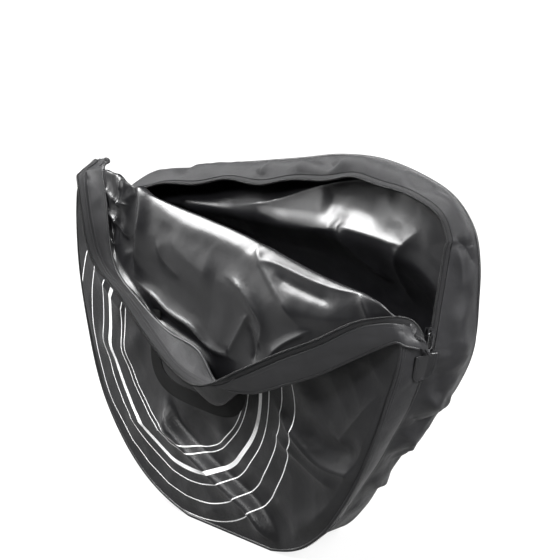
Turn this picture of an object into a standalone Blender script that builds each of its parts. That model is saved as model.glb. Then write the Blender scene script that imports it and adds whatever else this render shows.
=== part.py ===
"""A soft round bag for one bicycle wheel, standing unzipped with the top of its front panel folded down.

The bag is two round panels joined by a band, called the gusset. A zip runs round the upper half of the
band, so the upper part of the front panel is a flap: it hinges on a fold across the panel just above the
middle. The rear half of the mouth has no fold of its own and stands slumped.

Metres, +Z up. The bag stands on its flattened lowest edge, with the origin in the middle of that flat.
The panels lie across Y: the printed front panel faces -Y.
"""

import math

import bpy
import numpy as np
from mathutils import Matrix, Vector

# The whole bag
PANEL_RADIUS = 0.400
FRONT_DEPTH = 0.050
REAR_DEPTH = 0.090
FLOOR_SAG = 0.008
MOUTH_HEIGHT = 0.010
FOLD_HEIGHT = 0.060

# Cloth and seams
WALL = 0.0016
SEAM_GAP = 0.0005
PIPING_RADIUS = 0.0025
SEAM_TAPE_WIDTH = 0.005

# How far cloth stands out of its flat shape
FRONT_BULGE = 0.024
TIP_INSET = 0.006
CREASE_HEIGHT = 0.008
CREASE_WIDTH = 0.045
REAR_BULGE = 0.012
FRONT_GUSSET_BULGE = 0.003
REAR_GUSSET_BULGE = 0.010
BULGE_FADE = 0.133
SLUMP_FADE = 0.080

# The zip
COIL_RADIUS = 0.0020
TAPE_WIDTH = 0.012
TAPE_WALL = 0.0008
ZIP_LEAN = 0.032
ZIP_RISE = 0.155
STOP_SIZE = 0.004
PATCH_WALL = 0.0010
PATCH_SPREAD = 0.015
PATCH_REACH_ANGLE = 6.0
ZIP_END_ANGLE = 2.6
EAR_BLEND = 0.030

# The slider and its pull
SLIDER_LENGTH = 0.013
SLIDER_WIDTH = 0.0100
SLIDER_WALL = 0.0014
SLIDER_CLEARANCE = 0.0008
SLIDER_START = 0.027
BRIDGE_WIDTH = 0.0042
BRIDGE_OFFSET = -0.0035
BRIDGE_LENGTH = 0.0085
BRIDGE_HOLE = 0.0030
BRIDGE_WALL = 0.0012
PULL_WIRE_RADIUS = 0.0009
PULL_WIDTH = 0.0095
PULL_LENGTH = 0.026

# The folded flap
FOLD_GAP = 0.0007
FOLD_EDGE_WALL = 0.0003
FLAP_GUSSET_BULGE_SHARE = 0.08
SEAM_SPREAD = 0.8

# The carry handles
WEBBING_WIDTH = 0.025
WEBBING_WALL = 0.0018
WEBBING_TAPER = 0.010
HANDLE_SPAN = 0.204
HANDLE_DROP = 0.070
HANDLE_GAP = 0.00047
HANDLE_EDGE_WALL = 0.00014
TAB_GAP = 0.0006
HANDLE_SQUARENESS = 0.55
FRONT_TAB_ROWS = (6.6, 7.0, 7.6)
REAR_TAB_ROWS = (0.6, 1.1)
REAR_HANDLE_X = 0.060
REAR_HANDLE_OUT = 0.006
REAR_HANDLE_BELOW_SEAM = 0.045

# Where one shape runs into the next, as angles round the panel
STRAIGHT_LEAD_ANGLE = 4.0
SEAM_LEAD_ANGLE = 8.0
FLAT_FOOT_ANGLE = 14.0
FOOT_FADE_ANGLE = 30.0

# How finely round shapes are divided
ROUND_STEPS = 36
FLAP_STEPS = 30
EAR_STEPS = 6
EAR_FINE_STEPS = 60
HANDLE_STEPS = 20
ROW_STEP = 0.1
PULL_ARC_STEPS = 6
SHARP_ANGLE = 40.0
WELD_DECIMALS = 7
TUBE_SIDES = 6

# Worked out from the sizes above
CENTRE_Z = PANEL_RADIUS - FLOOR_SAG
ZIP_Y = -(REAR_DEPTH - FRONT_DEPTH) / 2
FRONT_Y = ZIP_Y - FRONT_DEPTH
REAR_Y = ZIP_Y + REAR_DEPTH
MOUTH_ANGLE = math.degrees(math.asin(MOUTH_HEIGHT / PANEL_RADIUS))
FOLD_ANGLE = math.degrees(math.asin(FOLD_HEIGHT / PANEL_RADIUS))
FOLD_Z = CENTRE_Z + FOLD_HEIGHT
TAPE_START = COIL_RADIUS + SEAM_GAP
TAPE_END = TAPE_START + TAPE_WIDTH
GUSSET_EDGE_AT_ZIP = TAPE_END + SEAM_GAP
GUSSET_EDGE_AT_SEAM = SEAM_TAPE_WIDTH / 2 + SEAM_GAP
PIPED_EDGE = PIPING_RADIUS + SEAM_GAP
FLAP_PIPED_EDGE = PIPING_RADIUS + WALL / 2 + SEAM_GAP

# The lower edges of the bag, from the right end of the mouth round to its left end: an angle round the
# panel, then how far out the front piping, the middle of the gusset and the rear piping lie there, as
# shares of the panel's radius. The lower right side is drawn in, the rear most.
LOWER_EDGE_SHARES = (
    (9, 1.000, 1.000, 1.000),
    (0, 0.975, 0.985, 0.990),
    (-12, 0.920, 0.925, 0.915),
    (-25, 0.900, 0.870, 0.835),
    (-37, 0.910, 0.860, 0.800),
    (-48, 0.935, 0.870, 0.795),
    (-59, 0.975, 0.915, 0.835),
    (-69, 1.000, 0.970, 0.910),
    (-79, 1.000, 1.000, 0.985),
    (-90, 1.000, 1.000, 1.000),
    (-105, 1.020, 1.010, 1.000),
    (-122, 1.045, 1.020, 1.000),
    (-140, 1.025, 1.010, 1.000),
    (-158, 0.975, 0.985, 1.000),
    (-175, 0.965, 0.970, 0.980),
    (-189, 0.975, 0.970, 0.970),
)

# The two ends of the front half of the zip, which stand on the lower gusset between the end of the zip and
# the fold. Each place is a depth from the zip towards the front, and a height above the centre, both as
# shares of the front depth.
RIGHT_EAR_SHARES = ((0.08, 0.24), (0.26, 0.58), (0.48, 0.86), (0.70, 1.04), (0.90, 1.14))
LEFT_EAR_SHARES = ((0.08, 0.24), (0.24, 0.78), (0.44, 1.16), (0.66, 1.36), (0.90, 1.30))

# The rear half of the mouth, from its right end to its left. Each row is an angle round the panel and a
# place: x and height as shares of the panel's radius, and depth from the zip to the rear panel as a share.
REAR_RIM_SHARES = (
    (30, 0.995, 0.38, 0.440),
    (42, 0.915, 0.46, 0.520),
    (55, 0.735, 0.50, 0.545),
    (70, 0.475, 0.52, 0.530),
    (85, 0.235, 0.54, 0.470),
    (100, 0.000, 0.52, 0.390),
    (115, -0.225, 0.48, 0.330),
    (130, -0.450, 0.40, 0.270),
    (145, -0.660, 0.30, 0.205),
    (160, -0.850, 0.16, 0.130),
)
REAR_SEAM_SHARES = (
    (10, 1.012, 0.98, 0.170),
    (20, 1.015, 1.0, 0.320),
    (30, 0.985, 1.0, 0.450),
    (42, 0.875, 1.0, 0.545),
    (55, 0.700, 1.0, 0.580),
    (70, 0.450, 1.0, 0.580),
    (85, 0.200, 1.0, 0.530),
    (100, -0.050, 1.0, 0.445),
    (115, -0.275, 1.0, 0.370),
    (130, -0.500, 1.0, 0.295),
    (145, -0.700, 1.0, 0.220),
    (160, -0.875, 1.0, 0.145),
)
# How the slumped top of the rear panel leans into the bag on its way up: how far up the slump, and how far
# forward of the rear panel as a share of the rear depth.
SLUMP_SHARES = ((0.0, 0.0), (0.12, 0.10), (0.28, 0.42), (0.42, 0.34), (0.62, 0.12), (0.82, 0.03), (1.0, 0.0))

# The folded flap, rib by rib from right to left. Each place is x, how far it stands out in front of the
# front panel, and height above the panel's centre, all as shares of the panel's radius.
FLAP_FOLD_X_SHARES = (0.963, 0.850, 0.650, 0.450, 0.255, 0.080, -0.112, -0.300, -0.500, -0.700, -0.880)
FLAP_RIDGE_SHARES = (
    (0.963, 0.020, 0.166), (0.850, 0.034, 0.200), (0.640, 0.040, 0.225), (0.440, 0.045, 0.240),
    (0.250, 0.045, 0.255), (0.075, 0.045, 0.265), (-0.112, 0.045, 0.270), (-0.300, 0.045, 0.265),
    (-0.500, 0.040, 0.258), (-0.695, 0.032, 0.240), (-0.875, 0.020, 0.190),
)
FLAP_SHOULDER_SHARES = (
    (0.963, 0.020, 0.148), (0.853, 0.055, 0.140), (0.650, 0.103, 0.120), (0.450, 0.126, 0.110),
    (0.265, 0.130, 0.100), (0.090, 0.128, 0.100), (-0.095, 0.122, 0.110), (-0.285, 0.108, 0.130),
    (-0.485, 0.080, 0.145), (-0.682, 0.052, 0.165), (-0.868, 0.028, 0.178),
)
FLAP_BELLY_SHARES = (
    (0.962, 0.019, 0.125), (0.850, 0.057, 0.095), (0.650, 0.107, 0.050), (0.458, 0.136, 0.015),
    (0.280, 0.148, -0.060), (0.108, 0.150, -0.140), (-0.070, 0.144, -0.130), (-0.258, 0.124, -0.060),
    (-0.465, 0.086, 0.050), (-0.670, 0.055, 0.095), (-0.862, 0.031, 0.168),
)
FLAP_LOBE_SHARES = (
    (0.962, 0.020, 0.098), (0.842, 0.062, 0.055), (0.651, 0.113, -0.005), (0.468, 0.146, -0.060),
    (0.292, 0.162, -0.165), (0.118, 0.164, -0.350), (-0.050, 0.158, -0.325), (-0.242, 0.134, -0.215),
    (-0.458, 0.094, -0.050), (-0.661, 0.059, 0.025), (-0.859, 0.033, 0.158),
)
FLAP_POUCH_SHARES = (
    (0.961, 0.021, 0.078), (0.832, 0.072, 0.020), (0.653, 0.125, -0.065), (0.480, 0.162, -0.135),
    (0.308, 0.186, -0.235), (0.132, 0.200, -0.360), (-0.025, 0.192, -0.335), (-0.222, 0.162, -0.245),
    (-0.446, 0.106, -0.110), (-0.650, 0.068, -0.018), (-0.857, 0.035, 0.146),
)
FLAP_SEAM_SHARES = (
    (0.961, 0.022, 0.055), (0.825, 0.080, -0.010), (0.655, 0.134, -0.110), (0.488, 0.172, -0.192),
    (0.318, 0.202, -0.265), (0.150, 0.222, -0.270), (0.015, 0.205, -0.180), (-0.205, 0.174, -0.172),
    (-0.430, 0.130, -0.125), (-0.635, 0.086, -0.052), (-0.850, 0.040, 0.126),
)
FLAP_RIM_SHARES = (
    (0.963, 0.056, 0.160), (0.855, 0.122, 0.150), (0.675, 0.175, 0.040), (0.500, 0.210, -0.055),
    (0.325, 0.245, -0.160), (0.137, 0.290, -0.268), (-0.040, 0.275, -0.268), (-0.245, 0.244, -0.195),
    (-0.470, 0.198, -0.100), (-0.705, 0.152, -0.005), (-0.905, 0.098, 0.150),
)
# Where the rows of each cloth lie, as shares of the way from one of its edges to the other.
GUSSET_ROW_SHARES = (0.0, 0.25, 0.5, 0.75, 1.0)
FRONT_ROW_SHARES = (0.0, 0.12, 0.32, 0.55, 0.78, 0.93, 1.0)
REAR_UPPER_ROW_SHARES = (1.0, 0.88, 0.76, 0.64, 0.52, 0.40, 0.27, 0.13)
REAR_LOWER_ROW_SHARES = (0.0, 0.16, 0.34, 0.52, 0.70, 0.86, 1.0)
FLAP_GUSSET_ROW_SHARES = (0.33, 0.67)
# The flap panel's rows, counted along its eight lines: 0 is the fold, 1 the ridge and so on to the seam.
FLAP_ROWS = (0.0, 0.35, 0.7, 1.0, 1.5, 2.0, 2.5, 3.0, 3.6, 4.0, 4.3, 4.6, 5.0, 6.0)
# A zip end patch's rows, along and across the seam, and how much of the gusset's bulge it follows.
PATCH_RUN_SHARES = (0.2, 0.45, 0.7, 0.95)
PATCH_ACROSS_SHARES = (-1.0, -0.4, 0.4, 1.0)
PATCH_LIFT_SHARE = 0.8
# The lines along a handle's tab, across its width from its middle.
TAB_LINE_SHARES = (-1.0, -0.5, 0.0, 0.5, 1.0)
# The wire pull: how much of its half width its bar takes, and how far down its shoulders reach.
PULL_BAR_SHARE = 0.62
PULL_SHOULDER_SHARE = 0.5
# Where the middle of the front handle hangs: x, how far out of the front panel and height above its centre, as
# shares of the panel's radius.
FRONT_HANDLE_SHARES = (-0.105, 0.1075, -0.2625)
# The crease across the front panel, as shares of the panel's radius from its centre.
CREASE_START_SHARES = (-0.24, -0.46)
CREASE_END_SHARES = (0.42, -0.92)
CREASE_FADE_SHARE = 0.3
CREASE_EARLY_SHARE = 0.5

MATERIALS = {
    "outer_cloth": ((0.030, 0.030, 0.032), 0.62, 0.0),
    "panel_cloth": ((0.026, 0.026, 0.028), 0.55, 0.0),
    "piping": ((0.040, 0.040, 0.042), 0.45, 0.0),
    "zip_tape": ((0.018, 0.018, 0.019), 0.80, 0.0),
    "zip_coil": ((0.022, 0.022, 0.023), 0.40, 0.0),
    "webbing": ((0.015, 0.015, 0.016), 0.85, 0.0),
    "zip_metal": ((0.16, 0.16, 0.17), 0.32, 1.0),
}


X_AXIS, Y_AXIS, Z_AXIS = np.eye(3)
# How the names of the pieces that turn with the flap begin.
FLAP_NAMES = ("flap_", "front_handle_tab_")


def material(name):
    """The Principled material of that name, made once."""
    found = bpy.data.materials.get(name)
    if found:
        return found
    colour, roughness, metallic = MATERIALS[name]
    made = bpy.data.materials.new(name)
    made.use_nodes = True
    shader = made.node_tree.nodes["Principled BSDF"]
    shader.inputs["Base Color"].default_value = (*colour, 1.0)
    shader.inputs["Roughness"].default_value = roughness
    shader.inputs["Metallic"].default_value = metallic
    return made


def add_mesh(name, points, faces, finish):
    """One named object from points and faces, with its faces turned outwards."""
    mesh = bpy.data.meshes.new(name)
    mesh.from_pydata([tuple(p) for p in points], [], faces)
    mesh.update()
    mesh.materials.append(material(finish))
    mesh.shade_smooth()
    mesh.set_sharp_from_angle(angle=math.radians(SHARP_ANGLE))
    made = bpy.data.objects.new(name, mesh)
    bpy.context.scene.collection.objects.link(made)
    return made


def smooth_step(value):
    """0 below 0, 1 above 1 and a smooth turn between."""
    t = min(1.0, max(0.0, value))
    return t * t * (3 - 2 * t)


def curve_through(knots, values, at):
    """A smooth curve's point at one parameter, through values at rising knots."""
    knots = list(knots)
    values = [np.array(v, float) for v in values]
    last = len(knots) - 2
    i = min(last, max(0, next((k for k in range(last + 1) if at < knots[k + 1]), last)))
    before = values[i - 1] if i > 0 else 2 * values[0] - values[1]
    after = values[i + 2] if i < last else 2 * values[-1] - values[-2]
    knot_before = knots[i - 1] if i > 0 else 2 * knots[0] - knots[1]
    knot_after = knots[i + 2] if i < last else 2 * knots[-1] - knots[-2]
    span = knots[i + 1] - knots[i]
    t = (at - knots[i]) / span
    slope_in = (values[i + 1] - before) / (knots[i + 1] - knot_before) * span
    slope_out = (after - values[i]) / (knot_after - knots[i]) * span
    return (
        (2 * t**3 - 3 * t**2 + 1) * values[i]
        + (t**3 - 2 * t**2 + t) * slope_in
        + (3 * t**2 - 2 * t**3) * values[i + 1]
        + (t**3 - t**2) * slope_out
    )


def unit(vector):
    """The vector at length 1."""
    return vector / max(np.linalg.norm(vector), 1e-12)


def add_cloth(name, points, faces, walls, finish):
    """Cloth of a given wall about a surface of points and faces: a closed solid, its open edges walled in."""
    points = np.array(points, float)
    keys = {}
    index = [keys.setdefault(tuple(np.round(p, WELD_DECIMALS)), len(keys)) for p in points]
    kept = np.array(list(keys), float)
    wall_at = np.zeros(len(kept))
    wall_at[index] = np.broadcast_to(np.array(walls, float), len(points))
    surface = []
    for face in faces:
        corners = []
        for corner in (index[c] for c in face):
            if corner not in corners:
                corners.append(corner)
        if len(corners) > 2:
            surface.append(tuple(corners))
    normals = np.zeros_like(kept)
    for face in surface:
        a, b = kept[face[2]] - kept[face[0]], kept[face[-1]] - kept[face[1]]
        turned = np.cross(a, b) if len(face) > 3 else np.cross(kept[face[1]] - kept[face[0]], a)
        for corner in face:
            normals[corner] += turned
    normals /= np.maximum(np.linalg.norm(normals, axis=1, keepdims=True), 1e-12)
    half = normals * wall_at[:, None] / 2
    back = len(kept)
    solid = list(surface) + [tuple(back + c for c in reversed(face)) for face in surface]
    edges = {}
    for face in surface:
        for a, b in zip(face, face[1:] + face[:1]):
            edges[(a, b)] = edges.get((a, b), 0) + 1
    for a, b in edges:
        if (b, a) not in edges:
            solid.append((b, a, back + a, back + b))
    return add_mesh(name, np.concatenate([kept + half, kept - half]), solid, finish)


def add_sheet(name, grid, walls, finish, closed=False):
    """Cloth about rows and columns of points; closed says that each row runs back to its start."""
    grid = np.array(grid, float)
    rows, columns = grid.shape[:2]
    flat = grid.reshape(-1, 3)
    faces = []
    for r in range(rows - 1):
        for c in range(columns if closed else columns - 1):
            n = (c + 1) % columns
            corners = (r * columns + c, r * columns + n, (r + 1) * columns + n, (r + 1) * columns + c)
            a, b, d, e = (flat[i] for i in corners)
            turn = 0 if np.linalg.norm(d - a) <= np.linalg.norm(e - b) else 1
            corners = corners[turn:] + corners[:turn]
            faces += [corners[:3], (corners[2], corners[3], corners[0])]
    walls = np.broadcast_to(np.array(walls, float), (rows, columns)).reshape(-1)
    return add_cloth(name, flat, faces, walls, finish)


def add_tube(name, path, radius, finish, closed=False, sides=TUBE_SIDES):
    """A round cord along a path, its ends capped unless it closes on itself."""
    path = np.array(path, float)
    steps = len(path)
    if closed:
        tangents = np.roll(path, -1, axis=0) - np.roll(path, 1, axis=0)
    else:
        tangents = np.gradient(path, axis=0)
    tangents = np.array([unit(t) for t in tangents])
    axis = np.eye(3)[int(np.argmin(np.abs(tangents[0])))]
    side = unit(np.cross(tangents[0], axis))
    points, sides_at = [], []
    for t in tangents:
        side = unit(side - t * (side @ t))
        sides_at.append(side)
    turn = 0.0
    if closed:
        last = unit(sides_at[-1] - tangents[0] * (sides_at[-1] @ tangents[0]))
        turn = math.atan2(np.cross(last, sides_at[0]) @ tangents[0], last @ sides_at[0])
    for k, (p, t, s) in enumerate(zip(path, tangents, sides_at)):
        up = np.cross(t, s)
        shift = turn * k / steps
        for j in range(sides):
            angle = 2 * math.pi * j / sides + shift
            points.append(p + radius * (math.cos(angle) * s + math.sin(angle) * up))
    faces = []
    for k in range(steps if closed else steps - 1):
        m = (k + 1) % steps
        for j in range(sides):
            i = (j + 1) % sides
            faces.append((k * sides + j, k * sides + i, m * sides + i, m * sides + j))
    if not closed:
        faces.append(tuple(reversed(range(sides))))
        faces.append(tuple((steps - 1) * sides + j for j in range(sides)))
    return add_mesh(name, points, faces, finish)


def add_extrusion(name, outline, origin, across, up, along, length, finish):
    """An outline of (across, up) points swept straight for a length, centred on the origin."""
    count = len(outline)
    points = []
    for end in (-length / 2, length / 2):
        points += [origin + across * a + up * b + along * end for a, b in outline]
    faces = [tuple(reversed(range(count))), tuple(range(count, 2 * count))]
    faces += [(i, (i + 1) % count, count + (i + 1) % count, count + i) for i in range(count)]
    return add_mesh(name, points, faces, finish)


def edge_radius(angle, line):
    """How far from the panel's centre a lower edge lies at an angle; line 0 is the front, 2 the rear."""
    table = LOWER_EDGE_SHARES
    round_from = angle - 360 if angle > 90 else angle
    share = curve_through([-row[0] for row in table], [(row[1 + line],) for row in table], -round_from)
    return float(share[0]) * PANEL_RADIUS


def tangent_at(line, k):
    """The direction of a line of places at one of them."""
    return unit(line[min(k + 1, len(line) - 1)] - line[max(k - 1, 0)])


def aside(line, k, toward):
    """The direction square to a line at its place k that faces another place."""
    tangent = tangent_at(line, k)
    lean = toward - line[k]
    return unit(lean - tangent * (lean @ tangent))


def radial(angle):
    """The direction out from the panel's centre at an angle round it."""
    turn = math.radians(angle)
    return np.array([math.cos(turn), 0.0, math.sin(turn)])


def round_place(angle, radius, y, floor):
    """A place on a circle about the panel's centre, kept above the floor by a given height."""
    place = radial(angle) * radius
    return np.array([place[0], y, max(CENTRE_Z + place[2], floor)])


def mouth_place(row):
    """A place on the rear of the mouth from its row of shares."""
    _, x, depth, height = row
    return np.array([x * PANEL_RADIUS, ZIP_Y + depth * REAR_DEPTH, CENTRE_Z + height * PANEL_RADIUS])


def in_mouth(angle):
    """Whether an angle round the panel lies along the open mouth."""
    return MOUTH_ANGLE < angle < 180 - MOUTH_ANGLE


def rear_rim(angle):
    """The zip edge of the rear half: round below, a straight stretch up the right side, then slumped."""
    if not in_mouth(angle):
        return round_place(angle, edge_radius(angle, 1) - WALL / 2, ZIP_Y, WALL / 2)
    right = rear_rim(MOUTH_ANGLE)
    top = right + np.array([0.0, ZIP_LEAN, ZIP_RISE])
    straight_end = REAR_RIM_SHARES[0][0] - STRAIGHT_LEAD_ANGLE
    lead = straight_end - STRAIGHT_LEAD_ANGLE
    if angle <= straight_end:
        return right + (top - right) * (angle - MOUTH_ANGLE) / (straight_end - MOUTH_ANGLE)
    lower = right + (top - right) * (lead - MOUTH_ANGLE) / (straight_end - MOUTH_ANGLE)
    knots = [lead, straight_end] + [row[0] for row in REAR_RIM_SHARES] + [180 - MOUTH_ANGLE]
    places = [lower, top] + [mouth_place(row) for row in REAR_RIM_SHARES]
    places.append(rear_rim(180 - MOUTH_ANGLE))
    return curve_through(knots, places, angle)


def rear_edge(angle, inset):
    """The rear edge of the bag, its lower part a given inset within the outline."""
    if not in_mouth(angle):
        return round_place(angle, edge_radius(angle, 2) - inset, REAR_Y, inset)
    lead = MOUTH_ANGLE - SEAM_LEAD_ANGLE
    knots = [lead, MOUTH_ANGLE] + [row[0] for row in REAR_SEAM_SHARES] + [180 - MOUTH_ANGLE, 180 - lead]
    places = [rear_edge(lead, inset), rear_edge(MOUTH_ANGLE, inset)]
    places += [mouth_place(row) for row in REAR_SEAM_SHARES]
    places += [rear_edge(-180 - MOUTH_ANGLE, inset), rear_edge(-180 - lead, inset)]
    return curve_through(knots, places, angle)


def ring_angles():
    """Angles round the whole bag from the right end of the mouth, over it and back below."""
    upper = np.linspace(MOUTH_ANGLE, 180 - MOUTH_ANGLE, ROUND_STEPS + 1)
    return list(upper[:-1]) + list(lower_angles(MOUTH_ANGLE)[:-1])


def lower_angles(end):
    """Angles round the lower part of the bag, from one above the middle on the left to it on the right."""
    return np.linspace(-180 - end, end, ROUND_STEPS + 1)


def rear_edge_inset(angle):
    """How far the rear gusset's edge lies from the zip line: past the zip tape in the mouth, or the seam."""
    if in_mouth(angle):
        return GUSSET_EDGE_AT_ZIP
    turned = angle if angle > -90 else -180 - angle
    share = smooth_step((MOUTH_ANGLE - turned) / ZIP_END_ANGLE)
    return GUSSET_EDGE_AT_ZIP * (1 - share) + GUSSET_EDGE_AT_SEAM * share


def stand_out_at(angle):
    """How freely the gusset stands out at an angle: not at all at the flat foot of the bag."""
    return smooth_step((abs(angle + 90) - FLAT_FOOT_ANGLE) / FOOT_FADE_ANGLE)


def front_band_radius(angle, y):
    """How far from the panel's centre the front gusset's cloth lies at an angle and a depth."""
    share = (y - FRONT_Y) / FRONT_DEPTH
    return edge_radius(angle, 0) * (1 - share) + edge_radius(angle, 1) * share - WALL / 2


def ear_line(side, reach):
    """Depths and heights along one end of the front zip, a given reach inside its coil."""
    table = RIGHT_EAR_SHARES if side > 0 else LEFT_EAR_SHARES
    knots = range(len(table))
    places = [(ZIP_Y - depth * FRONT_DEPTH, height * FRONT_DEPTH) for depth, height in table]
    line = [curve_through(knots, places, k) for k in np.linspace(0, len(table) - 1, EAR_FINE_STEPS + 1)]
    moved = []
    for k, place in enumerate(line):
        run = tangent_at(line, k)
        moved.append(place + np.array([-run[1], run[0]]) * reach)
    kept = [place for place in moved if place[0] > FRONT_Y + PIPED_EDGE]
    lengths = [0.0]
    for a, b in zip(kept, kept[1:]):
        lengths.append(lengths[-1] + np.linalg.norm(b - a))
    at = np.linspace(0.0, lengths[-1], EAR_STEPS + 1)
    depths, heights = (np.interp(at, lengths, [place[axis] for place in kept]) for axis in (0, 1))
    return list(zip(depths, heights))


def ear_angle(height):
    """The angle round the panel at a height above its centre."""
    return math.degrees(math.asin(height / PANEL_RADIUS))


def ear_place(side, y, height):
    """Where a depth and a height on the front gusset lie, on the bag's right or left."""
    angle = ear_angle(height) if side > 0 else -180 - ear_angle(height)
    return round_place(angle, front_band_radius(angle, y), y, WALL / 2)


def rear_ring():
    """The rear gusset's stations: angle, zip edge, rear seam, run of the zip, and both edges' sides."""
    angles = ring_angles()
    rims = [rear_rim(a) for a in angles]
    seams = [rear_edge(a, WALL / 2) for a in angles]
    ring = []
    for k, angle in enumerate(angles):
        n = (k + 1) % len(angles)
        around_rim = [rims[k - 1], rims[k], rims[n]]
        around_seam = [seams[k - 1], seams[k], seams[n]]
        from_rim, from_seam = aside(around_rim, 1, seams[k]), aside(around_seam, 1, rims[k])
        ring.append((angle, rims[k], seams[k], tangent_at(around_rim, 1), from_rim, from_seam))
    return ring


def make_gussets():
    """The two bands that join the panels, and the tape over their seam below the zip."""
    columns = []
    for angle, rim, seam, run, from_rim, from_seam in rear_ring():
        start = rim + from_rim * rear_edge_inset(angle)
        end = seam + from_seam * PIPED_EDGE
        outward = unit(np.cross(end - start, run))
        column = []
        for share in GUSSET_ROW_SHARES:
            lift = REAR_GUSSET_BULGE * stand_out_at(angle) * math.sin(math.pi * share)
            place = start + (end - start) * share + outward * lift
            place[2] = max(place[2], WALL / 2)
            column.append(place)
        columns.append(column)
    add_sheet("rear_gusset", np.array(columns).transpose(1, 0, 2), WALL, "outer_cloth", closed=True)

    ears = {side: ear_line(side, GUSSET_EDGE_AT_ZIP) for side in (-1, 1)}
    rows = []
    for k in range(EAR_STEPS + 1):
        share = 1 - k / EAR_STEPS
        level = FRONT_Y + PIPED_EDGE + (ZIP_Y - GUSSET_EDGE_AT_SEAM - FRONT_Y - PIPED_EDGE) * share
        left, right = ears[-1][k], ears[1][k]
        start, end = -180 - ear_angle(left[1]), ear_angle(right[1])
        row = []
        for angle in np.linspace(start, end, ROUND_STEPS + 1):
            ear = left if angle < -90 else right
            below = ear[1] - radial(angle)[2] * PANEL_RADIUS
            y = level + (ear[0] - level) * (1 - smooth_step(below / EAR_BLEND))
            lift = FRONT_GUSSET_BULGE * stand_out_at(angle) * math.sin(math.pi * share)
            row.append(round_place(angle, front_band_radius(angle, y) + lift, y, WALL / 2))
        rows.append(row)
    add_sheet("front_gusset", rows, WALL, "outer_cloth")

    reach = MOUTH_ANGLE - ZIP_END_ANGLE
    tape = [
        [
            round_place(a, edge_radius(a, 1) - WALL / 2, ZIP_Y + side * SEAM_TAPE_WIDTH / 2, WALL / 2)
            for a in np.linspace(-180 - reach, reach, ROUND_STEPS + 1)
        ]
        for side in (-1, 1)
    ]
    add_sheet("gusset_seam_tape", tape, WALL, "zip_tape")


def front_piping_line():
    """The middle of the corded seam round the lower part of the front panel."""
    angles = lower_angles(FOLD_ANGLE)
    return [round_place(a, edge_radius(a, 0) - PIPING_RADIUS, FRONT_Y, PIPING_RADIUS) for a in angles]


def make_pipings():
    """The corded seams round the front and rear panels."""
    add_tube("front_piping", front_piping_line(), PIPING_RADIUS, "piping")
    rear = [rear_edge(a, PIPING_RADIUS) for a in ring_angles()]
    add_tube("rear_piping", rear, PIPING_RADIUS, "piping", closed=True)


def crease(x, height):
    """The fold that runs down the front panel, as a height from 0 to 1 at a place on it."""
    start = np.array(CREASE_START_SHARES) * PANEL_RADIUS
    end = np.array(CREASE_END_SHARES) * PANEL_RADIUS
    run = end - start
    offset = np.array([x, height]) - start
    along = float(offset @ run) / float(run @ run)
    distance = abs(float(run[0] * offset[1] - run[1] * offset[0])) / np.linalg.norm(run)
    fade = smooth_step(along / CREASE_FADE_SHARE + CREASE_EARLY_SHARE)
    fade *= smooth_step((1 - along) / CREASE_FADE_SHARE)
    return math.exp(-distance / CREASE_WIDTH) * fade


def front_stand_out(x, height):
    """How far the front panel stands out in front of its seam at a place, measured from its centre."""
    reach = max(1 - (x * x + height * height) / PANEL_RADIUS**2, 0.0)
    below_fold = smooth_step((FOLD_HEIGHT - height) / BULGE_FADE)
    return (FRONT_BULGE + CREASE_HEIGHT * crease(x, height)) * reach * below_fold


def spread(k):
    """The share of the way across the bag of one of the columns of a panel, closer together near its ends."""
    share = k / ROUND_STEPS
    return (share + (1 - math.cos(math.pi * share)) / 2) / 2


def make_front_panel():
    """The lower part of the printed front panel, up to the fold."""
    fold_top = FOLD_HEIGHT - FOLD_GAP
    piping = front_piping_line()
    middle = np.array([0.0, FRONT_Y, CENTRE_Z])
    border = [place + aside(piping, k, middle) * PIPED_EDGE for k, place in enumerate(piping)]
    left, right = border[0][0] + TIP_INSET, border[-1][0] - TIP_INSET
    grid = []
    for share in FRONT_ROW_SHARES:
        row = []
        for k, foot in enumerate(border):
            top = np.array([left + (right - left) * spread(k), fold_top])
            inner = 0 < k < ROUND_STEPS
            foot_place = np.array([foot[0], min(foot[2] - CENTRE_Z, fold_top)]) if inner else top
            x, height = top + (foot_place - top) * share
            out = front_stand_out(x, height) if inner and 0 < share < 1 else 0.0
            row.append((x, FRONT_Y - out, CENTRE_Z + height))
        grid.append(row)
    walls = np.full((len(grid), ROUND_STEPS + 1), WALL)
    walls[0, :] = walls[:, 0] = walls[:, -1] = FOLD_EDGE_WALL
    add_sheet("front_panel", grid, walls, "panel_cloth")


def slump_lean(share):
    """How far the slumped cloth leans into the bag at a share of its height, in metres."""
    knots = [row[0] for row in SLUMP_SHARES]
    leans = [(row[1],) for row in SLUMP_SHARES]
    return float(curve_through(knots, leans, share)[0]) * REAR_DEPTH


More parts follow.
